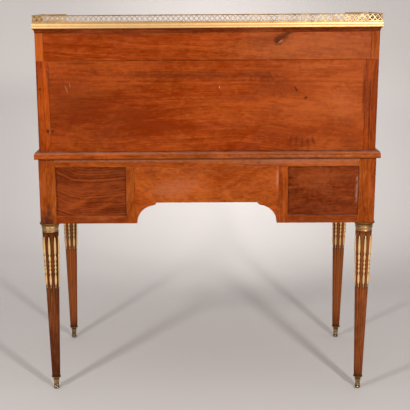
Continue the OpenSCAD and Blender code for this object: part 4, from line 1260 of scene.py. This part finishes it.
class DESK_OT_top(Operator):
    """Lay the marble in its brass band, over a hollow moulding"""

    bl_idname = "desk.top"
    bl_label = "Top"

    def execute(self, context):
        low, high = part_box("cornice")
        out = high.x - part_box("upper_side_right")[1].x
        thick = 0.02
        z0, z1 = low.z, high.z
        h = z1 - z0
        cove = [(0.0, z0), (0.0, z0 + 0.0012), (0.0006, z0 + 0.0016)]
        for i in range(1, 11):
            a = math.radians(9 * i)
            across = 0.0006 + (out - 0.0012) * (1 - math.cos(a))
            cove.append((across, z0 + 0.0016 + 0.72 * h * math.sin(a)))
        cove += [(out - 0.0004, z0 + 0.8 * h), (out, z0 + 0.84 * h), (out, z1)]
        bm = start()
        inset = Vector((out, out, 0))
        mitred(bm, low + inset, high - inset, cove, thick)
        inset = Vector((out + thick + 2 * MITRE_GAP, out + thick + 2 * MITRE_GAP, 0))
        box(bm, low + inset, high - inset)
        lay_grain(bm, "cornice", spread=0.03)
        mark_hollows(bm, gain=1.0, passes=1)
        finish("cornice_moulding", bm, "cornice", woods("panel"), smooth=28)

        bm = start()
        bevelled_box(bm, *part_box("marble_top"), 0.0022, segments=4)
        finish("marble_slab", bm, "marble_top", [marble("white_marble")])

        low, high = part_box("top_band")
        outline = mm([
            (-1.6, 0.0), (-0.8, 0.15), (-0.35, 0.6), (-0.15, 1.6), (-0.12, 3.2), (-0.3, 4.6),
            (-0.75, 5.4), (-0.95, 5.9), (-0.85, 6.4), (-0.4, 6.9), (-0.12, 7.5), (0.0, 8.4),
            (0.0, 12.2), (-0.12, 12.9), (-0.5, 13.4), (-1.2, 13.7), (-1.5, 14.1), (-1.2, 14.5),
            (-0.95, 15.0), (-1.1, 15.6), (-1.5, 16.0),
        ])
        bm = start()
        mitred(bm, low, high, [(out, low.z + z) for out, z in outline], 0.006)
        mark_hollows(bm, gain=2.0, passes=0)
        finish("moulded_band", bm, "top_band", brass(), smooth=34)
        return {"FINISHED"}


class DESK_OT_gallery(Operator):
    """Pierce the gallery: crossed bars between two rails"""

    bl_idname = "desk.gallery"
    bl_label = "Gallery"

    def execute(self, context):
        s = context.scene.desk_gallery
        low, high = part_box("gallery")
        t = s.thickness
        gap = 0.0001
        bm = start()
        self.strip(bm, high.x - low.x, Matrix.Translation((low.x, high.y - t / 2, low.z)), s)
        for side in (-1, 1):
            x = (high.x - t / 2) if side > 0 else (low.x + t / 2)
            turn = Matrix.Translation((x, low.y, low.z)) @ Matrix.Rotation(math.pi / 2, 4, "Z")
            self.strip(bm, high.y - low.y - t - gap, turn, s)
            x = high.x - t - gap - s.front_return if side > 0 else low.x + t + gap
            self.strip(bm, s.front_return, Matrix.Translation((x, low.y + t / 2, low.z)), s)
        mark_hollows(bm, gain=0.8, passes=0)
        # The top rails take a darker gilding: painted shade on them
        paint(bm, lambda face: int(min(v.co.z for v in face.verts) > high.z - 0.0031))
        rail = gilding("rail_gilding", 0.42, 0.3, 0.5, 0.7)
        finish("pierced_gallery", bm, "gallery", [*brass(worn=True), rail], smooth=30)
        return {"FINISHED"}

    def strip(self, bm, run, matrix, s):
        """One straight length, drawn along X in the plane y = 0."""
        h, t = s.height, s.thickness
        units = max(1, round(run / s.pitch))
        unit = run / units
        base = [
            (-t / 2, 0), (t / 2, 0), (t / 2, 0.0016), (0.2 * t, 0.0024), (-0.2 * t, 0.0024),
            (-t / 2, 0.0016),
        ]
        cap = [
            (-0.26 * t, h - 0.003), (0.26 * t, h - 0.003), (t / 2, h - 0.0025), (t / 2, h - 0.0007),
            (0.3 * t, h), (-0.3 * t, h), (-t / 2, h - 0.0007), (-t / 2, h - 0.0025),
        ]
        made = []
        for outline in (base, cap):
            made += stick(bm, [[(x, y, z) for y, z in outline] for x in (0.0, run)])
        low, high = 0.0018, h - 0.0026
        for i in range(units):
            for rise in (1, -1):
                a = Vector((i * unit, 0, low if rise > 0 else high))
                b = Vector(((i + 1) * unit, 0, high if rise > 0 else low))
                along = b - a
                tilt = -math.atan2(along.z, along.x)
                place = Matrix.Translation((a + b) / 2) @ Matrix.Rotation(tilt, 4, "Y")
                scale = Matrix.Diagonal((along.length - 0.0006, 0.86 * t - 0.0001 * (rise > 0), s.bar, 1))
                bar = bmesh.ops.create_cube(bm, size=1.0, matrix=place @ scale)["verts"]
                long = 0.5 * along.length_squared
                edges = [
                    e for e in touching(bar, "link_edges")
                    if abs((e.verts[0].co - e.verts[1].co).dot(along)) > long
                ]
                strips = soften(bm, 0.0004, segments=1, edges=edges)
                made += [v for face in strips for v in face.verts]
        bmesh.ops.transform(bm, matrix=matrix, verts=list(dict.fromkeys(v for v in made if v.is_valid)))


# Fall, drawers and inside

# The fall's circle, with angles in degrees above the front
FALL_AXIS = Vector((0.0, -0.007, 0.784))
FALL_RADIUS = 0.248
FALL_THICK = 0.014
FALL_DROP = 0.0169
FALL_LOW = math.degrees(-math.asin(FALL_DROP / FALL_RADIUS))
FALL_HIGH = 100.0
KNOB_ANGLE = 5.5
BEADS_LOW = 13.0
BEADS_HIGH = 80.0
# Fittings of the fall and the drawers
FALL_KNOB = 0.02
FALL_PLATE = 0.018
PLATE_THICK = 0.0014
KNOB_DEPTH = 1.37
KNOB_FOOT = 0.44
BEAD_GAP = 4e-5
PIN_RADIUS = 0.005
PIN_HEAD_RADIUS = 0.0085
PIN_INNER_END = 0.4752


def on_fall(x, radius, angle):
    """A point of the shut fall, by its radius and its angle above the front."""
    a = math.radians(angle)
    return Vector((x, FALL_AXIS.y - radius * math.cos(a), FALL_AXIS.z + radius * math.sin(a)))


def facing(point, angle=0.0):
    """Turns what stands on z = 0 to stand on a front, or on the fall at an angle."""
    return Matrix.Translation(point) @ Matrix.Rotation(math.radians(90 - angle), 4, "X")


def on_fall_front(x):
    """The place of a knob or keyhole plate on the shut fall."""
    return facing(on_fall(x, FALL_RADIUS + 0.0003, KNOB_ANGLE), KNOB_ANGLE)


def knob_profile(d):
    """Half outline of a turned knob with a rosette at its foot and a ringed face."""
    shares = [
        (0.0, 0.0), (0.43, 0.0), (KNOB_FOOT, 0.02), (KNOB_FOOT, 0.055), (0.405, 0.085), (0.35, 0.1),
        (0.335, 0.13), (0.285, 0.16), (0.225, 0.2), (0.185, 0.28), (0.172, 0.38), (0.185, 0.47),
        (0.235, 0.545), (0.3, 0.6), (0.365, 0.66), (0.405, 0.74), (0.42, 0.84), (0.415, 0.95),
        (0.385, 1.06), (0.335, 1.15), (0.29, 1.205), (0.262, 1.215), (0.245, 1.245), (0.2, 1.29),
        (0.14, 1.33), (0.07, 1.362), (0.0, KNOB_DEPTH),
    ]
    return [(d * r, d * z) for r, z in shares]


def add_plate(bm, matrix, d):
    """An oval keyhole plate with a rim and two pins, on z = 0."""
    t = PLATE_THICK
    rings = [
        (0.5, 0.0), (0.5, 0.5), (0.475, 0.9), (0.44, 1.0), (0.41, 0.95), (0.385, 0.68), (0.36, 0.62),
    ]
    turned(bm, [(0.0, 0.0), *((d * r, t * z) for r, z in rings), (0.0, 0.62 * t)], matrix, steps=40)
    pin = [(0.0, 0.0), (0.05 * d, 0.0), (0.05 * d, 0.2 * t), (0.03 * d, 0.42 * t), (0.0, 0.5 * t)]
    for side in (-1, 1):
        turned(bm, pin, matrix @ Matrix.Translation((side * 0.26 * d, 0, 0.55 * t)), steps=10)


def add_keyhole(bm, matrix, d):
    """Painted shade for the keyhole: a dark round hole over a slot, a hair over the plate."""
    raised = 0.7 * PLATE_THICK
    place = matrix @ Matrix.Translation((0, 0.1 * d, raised))
    hole = cone(bm, 20, 0.105 * d, 0.105 * d, -0.00015, 0.00015, place)
    size = Matrix.Diagonal((0.1 * d, 0.36 * d, 0.00029, 1))
    place = matrix @ Matrix.Translation((0, -0.09 * d, raised)) @ size
    slot = bmesh.ops.create_cube(bm, size=1.0, matrix=place)["verts"]
    for face in touching(hole + slot, "link_faces"):
        face.material_index = 1


def half_round(width, height):
    """Outline of a bead that stands on z = 0, as (across, up)."""
    half = width / 2
    angles = [math.pi * i / 6 for i in range(7)]
    bow = [(-half * math.cos(a), height * (0.25 + 0.75 * math.sin(a))) for a in angles]
    return [(-half, 0.0), *bow, (half, 0.0)]


def add_bead_frame(bm, low, high, width, height):
    """Four mitred beads round a rectangle on a front that faces -Y, between two corners."""
    half = Vector((width / 2, 0, width / 2))
    low, high = low + half, high - half
    for across, along in ((2, 0), (0, 2)):
        for side, edge in ((1, low), (-1, high)):
            ends = []
            for sign, end in ((-1, low), (1, high)):
                points = []
                for a, up in half_round(width, height):
                    point = Vector((0.0, low.y - up, 0.0))
                    point[across] = edge[across] + a
                    point[along] = end[along] - sign * (side * a + BEAD_GAP)
                    points.append(point)
                ends.append(points)
            stick(bm, ends)


def add_fittings(node, name):
    """Beads, knobs and keyhole plates of a drawer, where the frame has them."""
    copy = start(node)
    found = [corners(faces) for faces in shells(copy)]
    copy.free()
    bm = start()
    face_y = max(high.y for _, high in found)
    beads = []
    holes = []
    for low, high in found:
        wide, deep, tall = high - low
        middle = (low + high) / 2
        at = facing((middle.x, face_y, middle.z))
        if abs(wide - tall) > 0.001:
            if wide > 3 * tall:
                beads.append((low, high))
        elif deep > 0.008:
            turned(bm, knob_profile(deep / KNOB_DEPTH), at, steps=40)
        else:
            add_plate(bm, at, wide)
            holes.append((at, wide))
    beads.sort(key=lambda bead: bead[0].z)
    for lower, upper in zip(beads[::2], beads[1::2]):
        low = Vector((lower[0].x, face_y, lower[0].z))
        high = Vector((upper[1].x, face_y, upper[1].z))
        _, height, width = lower[1] - lower[0]
        add_bead_frame(bm, low, high, width, height)
    mark_hollows(bm)
    for at, wide in holes:
        add_keyhole(bm, at, wide)
    finish(name, bm, node, brass() + [iron_and_keyhole_shade()], smooth=42)


def add_drawer(node):
    """A drawer: a mahogany front and four boards of oak."""
    low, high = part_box(node)

    def pick(a, b):
        return 0 if a.y < low.y + 0.002 and b.x - a.x > 0.9 * (high.x - low.x) else 1

    boards(node, materials=woods("frame") + woods("oak"), pick=pick, arris=0.0007)


class DESK_OT_drawers(Operator):
    """Build the ten drawers with their beads, knobs and keyhole plates"""

    bl_idname = "desk.drawers"
    bl_label = "Drawers"

    def execute(self, context):
        for place in ("left", "centre", "right"):
            add_drawer(f"top_drawer_{place}")
            add_fittings(f"top_drawer_{place}_fittings", f"top_drawer_{place}_brass")
            add_drawer(f"inner_drawer_{place}")
            add_fittings(f"inner_drawer_{place}_knob", f"inner_drawer_{place}_brass")
        for name in ("centre", "left_upper", "left_lower", "right_deep"):
            add_drawer(f"{name}_drawer")
            add_fittings(f"{name}_drawer_fittings", f"{name}_drawer_brass")
        return {"FINISHED"}


class DESK_OT_fall(Operator):
    """Bend the quarter-round fall and fit its beads, knobs, lock and arms"""

    bl_idname = "desk.fall"
    bl_label = "Cylinder fall"

    def execute(self, context):
        low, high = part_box("cylinder_fall")
        inner = FALL_RADIUS - FALL_THICK
        bm = start()
        section = [(low.x, inner), (low.x, FALL_RADIUS), (high.x, FALL_RADIUS), (high.x, inner)]
        face = bm.faces.new([bm.verts.new(on_fall(x, r, FALL_LOW)) for x, r in section])
        bmesh.ops.spin(
            bm, geom=[face, *face.edges, *face.verts], cent=FALL_AXIS, axis=(-1, 0, 0),
            angle=math.radians(FALL_HIGH - FALL_LOW), steps=64,
        )
        bmesh.ops.remove_doubles(bm, verts=bm.verts, dist=1e-6)
        face_out(bm, bm.faces[:])
        lay_grain(bm, "cylinder_fall", spread=0.0)
        paint(bm, lambda face: 0)
        soften(bm, 0.0012, segments=3)
        veneer = timber(
            "fall_veneer", *tints("board"), heart=(0.1, -0.6), lean=0.16, density=90.0, waver=1.6,
        )
        finish("curved_fall", bm, "cylinder_fall", [veneer], smooth=30)

        bm = start("fall_arms")
        soften(bm, 0.0006, angle=40)
        finish("iron_arms", bm, "fall_arms", [iron_and_keyhole_shade()], smooth=30)

        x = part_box("fall_knobs")[1].x - KNOB_FOOT * FALL_KNOB
        bm = start()
        for side in (-1, 1):
            turned(bm, knob_profile(FALL_KNOB), on_fall_front(side * x), steps=48)
        mark_hollows(bm)
        finish("fall_handles", bm, "fall_knobs", brass(), smooth=42)
        self.beads()
        self.lock()
        return {"FINISHED"}

    def beads(self):
        """Four mitred beads that follow the curve."""
        low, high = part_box("fall_beading")
        width, height, steps = 0.004, 0.0018, 40
        half = math.degrees(width / 2 / FALL_RADIUS)
        a0, a1 = BEADS_LOW + half, BEADS_HIGH - half
        x0, x1 = low.x + width / 2, high.x - width / 2
        outline = half_round(width, height)
        base = FALL_RADIUS + 0.00005

        def row(x, angle, over, up):
            """Points across a bead, run on by shares of the distance from its middle."""
            return [
                on_fall(x + over * a, base + rise, angle + up * math.degrees(a / FALL_RADIUS))
                for a, rise in outline
            ]

        bm = start()
        for angle, side in ((a0, 1), (a1, -1)):
            stick(bm, [row(x0, angle, side, 1), row(x1, angle, -side, 1)])
        for x, side in ((x0, 1), (x1, -1)):
            rows = []
            for i in range(steps + 1):
                mitre = {0: 0.98, steps: -0.98}.get(i, 0.0)
                points = row(x, a0 + (a1 - a0) * i / steps, 1, side * mitre)
                rows.append([bm.verts.new(p) for p in points])
            edges = [[bm.edges.new(pair) for pair in zip(r, r[1:] + r[:1])] for r in rows]
            for lower, upper in zip(edges, edges[1:]):
                bmesh.ops.bridge_loops(bm, edges=lower + upper)
            bm.faces.new(rows[0])
            bm.faces.new(rows[-1])
            face_out(bm, touching(connected(rows[0]), "link_faces"))
        finish("fall_beads", bm, "fall_beading", brass(), smooth=42)

    def lock(self):
        """Keyhole plate outside, lock case with four screws inside."""
        bm = start()
        add_plate(bm, on_fall_front(0), FALL_PLATE)
        mark_hollows(bm)
        plate = set(bm.faces)
        add_keyhole(bm, on_fall_front(0), FALL_PLATE)
        height, deep = 0.03, 0.009
        near = math.sqrt((FALL_RADIUS - FALL_THICK) ** 2 - height ** 2 / 4) - 0.0003
        turn = Matrix.Translation(FALL_AXIS) @ Matrix.Rotation(math.radians(-KNOB_ANGLE), 4, "X")
        strips = bevelled_box(bm, (-0.028, -near, -height / 2), (0.028, -near + deep, height / 2), 0.0007)
        bmesh.ops.transform(bm, matrix=turn, verts=connected(v for face in strips for v in face.verts))
        screw = [(0.0, 0.0), (0.0026, 0.0), (0.0026, 0.0003), (0.002, 0.0007), (0.0, 0.0009)]
        upright = Matrix.Rotation(-math.pi / 2, 4, "X")
        for x in (-0.022, 0.022):
            for z in (-0.01, 0.01):
                turned(bm, screw, turn @ Matrix.Translation((x, -near + deep, z)) @ upright, steps=14)
        paint(bm, lambda face: int(face not in plate))
        finish("fall_lock_plate", bm, "fall_lock", brass() + [iron_and_keyhole_shade()], smooth=42)


class DESK_OT_inside(Operator):
    """Build the pigeonholes, the writing slide and the pivots"""

    bl_idname = "desk.inside"
    bl_label = "Inside"

    def execute(self, context):
        boards("pigeonholes", arris=0.0007)
        bm = start("writing_slide")
        lay_grain(bm, "writing_slide", spread=0.0)
        soften(bm, 0.0005, angle=42)
        finish("slide_board", bm, "writing_slide", woods("frame"), smooth=24)

        low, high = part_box("slide_leather")
        bm = start()
        bevelled_box(bm, low, high, 0.0006)
        hide = leather("tooled_leather", low, high)
        finish("slide_hide", bm, "slide_leather", [hide])
        add_fittings("slide_knobs", "slide_brass")

        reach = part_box("pivot_pins")[1].x - PIN_INNER_END
        r, head = PIN_RADIUS, PIN_HEAD_RADIUS
        profile = [
            (0.0, 0.0), (head - 0.0012, 0.0), (head - 0.0003, 0.0004), (head, 0.0011), (head, 0.002),
            (r, 0.002), (r, reach - 0.0006), (r - 0.0006, reach), (0.0, reach),
        ]
        bm = start()
        for side in (-1, 1):
            end = Matrix.Translation((side * PIN_INNER_END, FALL_AXIS.y, FALL_AXIS.z))
            turned(bm, profile, end @ Matrix.Rotation(side * math.pi / 2, 4, "Y"), steps=40)
        mark_hollows(bm)
        finish("pivot_pin_heads", bm, "pivot_pins", brass(), smooth=40)
        return {"FINISHED"}


# Stage

LAMP_TINT = (1.0, 0.985, 0.965)
SKY_TINT = (1.0, 0.985, 0.97)
LEFT_SIDE_GAIN = 1.75
# The paper: half its width, its front edge, where it starts to rise, the bend and its top
PAPER_HALF = 6.0
PAPER_FRONT = 7.0
PAPER_BEND_Y = -1.3
PAPER_BEND = 0.9
PAPER_TOP = 4.0


def add_camera(s):
    """The camera behind the desk, turned and tilted towards it."""
    pitch, turn, roll = s.camera_down, s.camera_turn, s.camera_roll
    level = Vector((math.sin(turn), -math.cos(turn), 0.0))
    ahead = math.cos(pitch) * level - Vector((0.0, 0.0, math.sin(pitch)))
    right = Vector((-math.cos(turn), -math.sin(turn), 0.0))
    up = right.cross(ahead)
    side = math.cos(roll) * right + math.sin(roll) * up
    top = -math.sin(roll) * right + math.cos(roll) * up
    data = bpy.data.cameras.new("view_from_behind")
    data.sensor_fit = "HORIZONTAL"
    data.sensor_width = 36.0
    data.lens = s.lens
    data.shift_x, data.shift_y = s.shift
    data.clip_end = 60.0
    facing_desk = Matrix((side, top, -ahead)).transposed().to_4x4()
    bpy.context.scene.camera = linked(data.name, data, Matrix.Translation(s.camera_at) @ facing_desk)


def add_sky(s):
    """Soft light from all round, dimmer in reflections."""
    world = bpy.data.worlds.new("soft_sky")
    world.use_nodes = True
    tree = world.node_tree
    sky = tree.nodes["Background"]
    sky.inputs["Color"].default_value = (*SKY_TINT, 1.0)
    seen = tree.nodes.new("ShaderNodeLightPath")
    dimmed = tree.nodes.new("ShaderNodeMapRange")
    dimmed.inputs["To Min"].default_value = s.sky
    dimmed.inputs["To Max"].default_value = s.sky * s.sky_gloss
    tree.links.new(seen.outputs["Is Glossy Ray"], dimmed.inputs["Value"])
    tree.links.new(dimmed.outputs["Result"], sky.inputs["Strength"])
    bpy.context.scene.world = world


def add_lamp(name, place, aim, watts, size, spread):
    """A square soft light that the camera doesn't see."""
    lamp = bpy.data.lights.new(name, "AREA")
    lamp.shape = "SQUARE"
    lamp.size = size
    lamp.energy = watts
    lamp.color = LAMP_TINT
    lamp.spread = math.radians(spread)
    turn = (Vector(aim) - Vector(place)).to_track_quat("-Z", "Y").to_matrix().to_4x4()
    linked(name, lamp, Matrix.Translation(place) @ turn).visible_camera = False


def add_paper(s):
    """The floor, bent up into a backdrop that is clear from behind."""
    profile = [(PAPER_FRONT, 0.0), (PAPER_BEND_Y, 0.0)]
    for i in range(1, 13):
        a = math.radians(7.5 * i)
        profile.append((PAPER_BEND_Y - PAPER_BEND * math.sin(a), PAPER_BEND * (1 - math.cos(a))))
    profile.append((PAPER_BEND_Y - PAPER_BEND, PAPER_TOP))
    bm = bmesh.new()
    row = [bm.verts.new((-PAPER_HALF, y, z)) for y, z in profile]
    edges = [bm.edges.new(pair) for pair in zip(row, row[1:])]
    made = bmesh.ops.extrude_edge_only(bm, edges=edges)
    moved = [g for g in made["geom"] if isinstance(g, bmesh.types.BMVert)]
    bmesh.ops.translate(bm, verts=moved, vec=(2 * PAPER_HALF, 0, 0))
    bmesh.ops.recalc_face_normals(bm, faces=bm.faces)
    bm.normal_update()
    floor_face = max(bm.faces, key=lambda face: abs(face.normal.z))
    if floor_face.normal.z < 0:
        bmesh.ops.reverse_faces(bm, faces=bm.faces)
    mesh = bpy.data.meshes.new("floor_and_backdrop")
    bm.to_mesh(mesh)
    bm.free()
    mesh.shade_smooth()
    f = Finish("studio_paper")
    cloud = f.noise(f.place, 1.3, 2.0)
    shade = f.mix(f.span(cloud, 0.3, 0.7, 0.0, 0.35), tuple(s.floor), toned(s.floor, 0.95))
    front = f.add("BsdfPrincipled", {"Base Color": shade, "Roughness": 0.85}).outputs[0]
    behind = f.add("NewGeometry").outputs["Backfacing"]
    shown = f.add("MixShader", {0: behind, 1: front, 2: f.add("BsdfTransparent").outputs[0]})
    f.add("OutputMaterial", {"Surface": shown.outputs[0]})
    mesh.materials.append(f.material)
    linked(mesh.name, mesh)


class DESK_OT_stage(Operator):
    """Set the camera, the lights and the floor with its backdrop"""

    bl_idname = "desk.stage"
    bl_label = "Stage"

    def execute(self, context):
        s = context.scene.desk_stage
        context.scene.view_settings.view_transform = "Standard"
        add_camera(s)
        add_sky(s)
        desk = (0, 0.1, 0.62)
        add_lamp("light_left", (1.369, 1.858, 1.57), desk, s.key_power, 0.17, 180)
        add_lamp("light_right", (-1.213, 2.746, 1.6), desk, s.fill_power, 0.2, 180)
        add_lamp("light_backdrop", (0.0, -1.1, 2.4), (-0.1, -2.1, 0.2), s.back_power, 0.6, 66)
        add_lamp("light_wall", (-0.1, -0.6, 0.7), (-0.15, -2.2, -0.1), s.wall_power, 0.3, 90)
        left = LEFT_SIDE_GAIN * s.side_power
        add_lamp("light_wall_left", (1.7, -1.0, 1.0), (0.9, -2.2, 0.7), left, 0.5, 150)
        add_lamp("light_wall_right", (-1.7, -1.0, 1.0), (-0.9, -2.2, 0.7), s.side_power, 0.5, 150)
        add_paper(s)
        return {"FINISHED"}


OPERATORS = (
    DESK_OT_stage, DESK_OT_legs, DESK_OT_leg_brass, DESK_OT_lower_case, DESK_OT_waist,
    DESK_OT_upper_case, DESK_OT_top, DESK_OT_gallery, DESK_OT_fall, DESK_OT_inside, DESK_OT_drawers,
)


class DESK_PT_panel(Panel):
    """Lists the desk's pieces and settings"""

    bl_idname = "DESK_PT_panel"
    bl_label = "Cylinder desk"
    bl_space_type = "VIEW_3D"
    bl_region_type = "UI"
    bl_category = "Desk"

    def draw(self, context):
        for operator in OPERATORS:
            self.layout.operator(operator.bl_idname)
        for attribute, group in SETTINGS.items():
            settings = getattr(context.scene, attribute)
            column = self.layout.box().column()
            for key in group.__annotations__:
                column.prop(settings, key)


SETTINGS = {
    "desk_wood": DeskWood,
    "desk_metal": DeskMetal,
    "desk_top": DeskTop,
    "desk_legs": DeskLegs,
    "desk_gallery": DeskGallery,
    "desk_stage": DeskStage,
}


def register():
    for group in (*SETTINGS.values(), *OPERATORS, DESK_PT_panel):
        bpy.utils.register_class(group)
    for attribute, group in SETTINGS.items():
        setattr(bpy.types.Scene, attribute, PointerProperty(type=group))


def unregister():
    for attribute in SETTINGS:
        delattr(bpy.types.Scene, attribute)
    for group in (DESK_PT_panel, *reversed(OPERATORS), *reversed(list(SETTINGS.values()))):
        bpy.utils.unregister_class(group)


def main():
    register()
    bpy.ops.desk.stage()
    bpy.ops.desk.legs()
    bpy.ops.desk.leg_brass()
    bpy.ops.desk.lower_case()
    bpy.ops.desk.waist()
    bpy.ops.desk.upper_case()
    bpy.ops.desk.top()
    bpy.ops.desk.gallery()
    bpy.ops.desk.fall()
    bpy.ops.desk.inside()
    bpy.ops.desk.drawers()


if __name__ == "__main__":
    main()
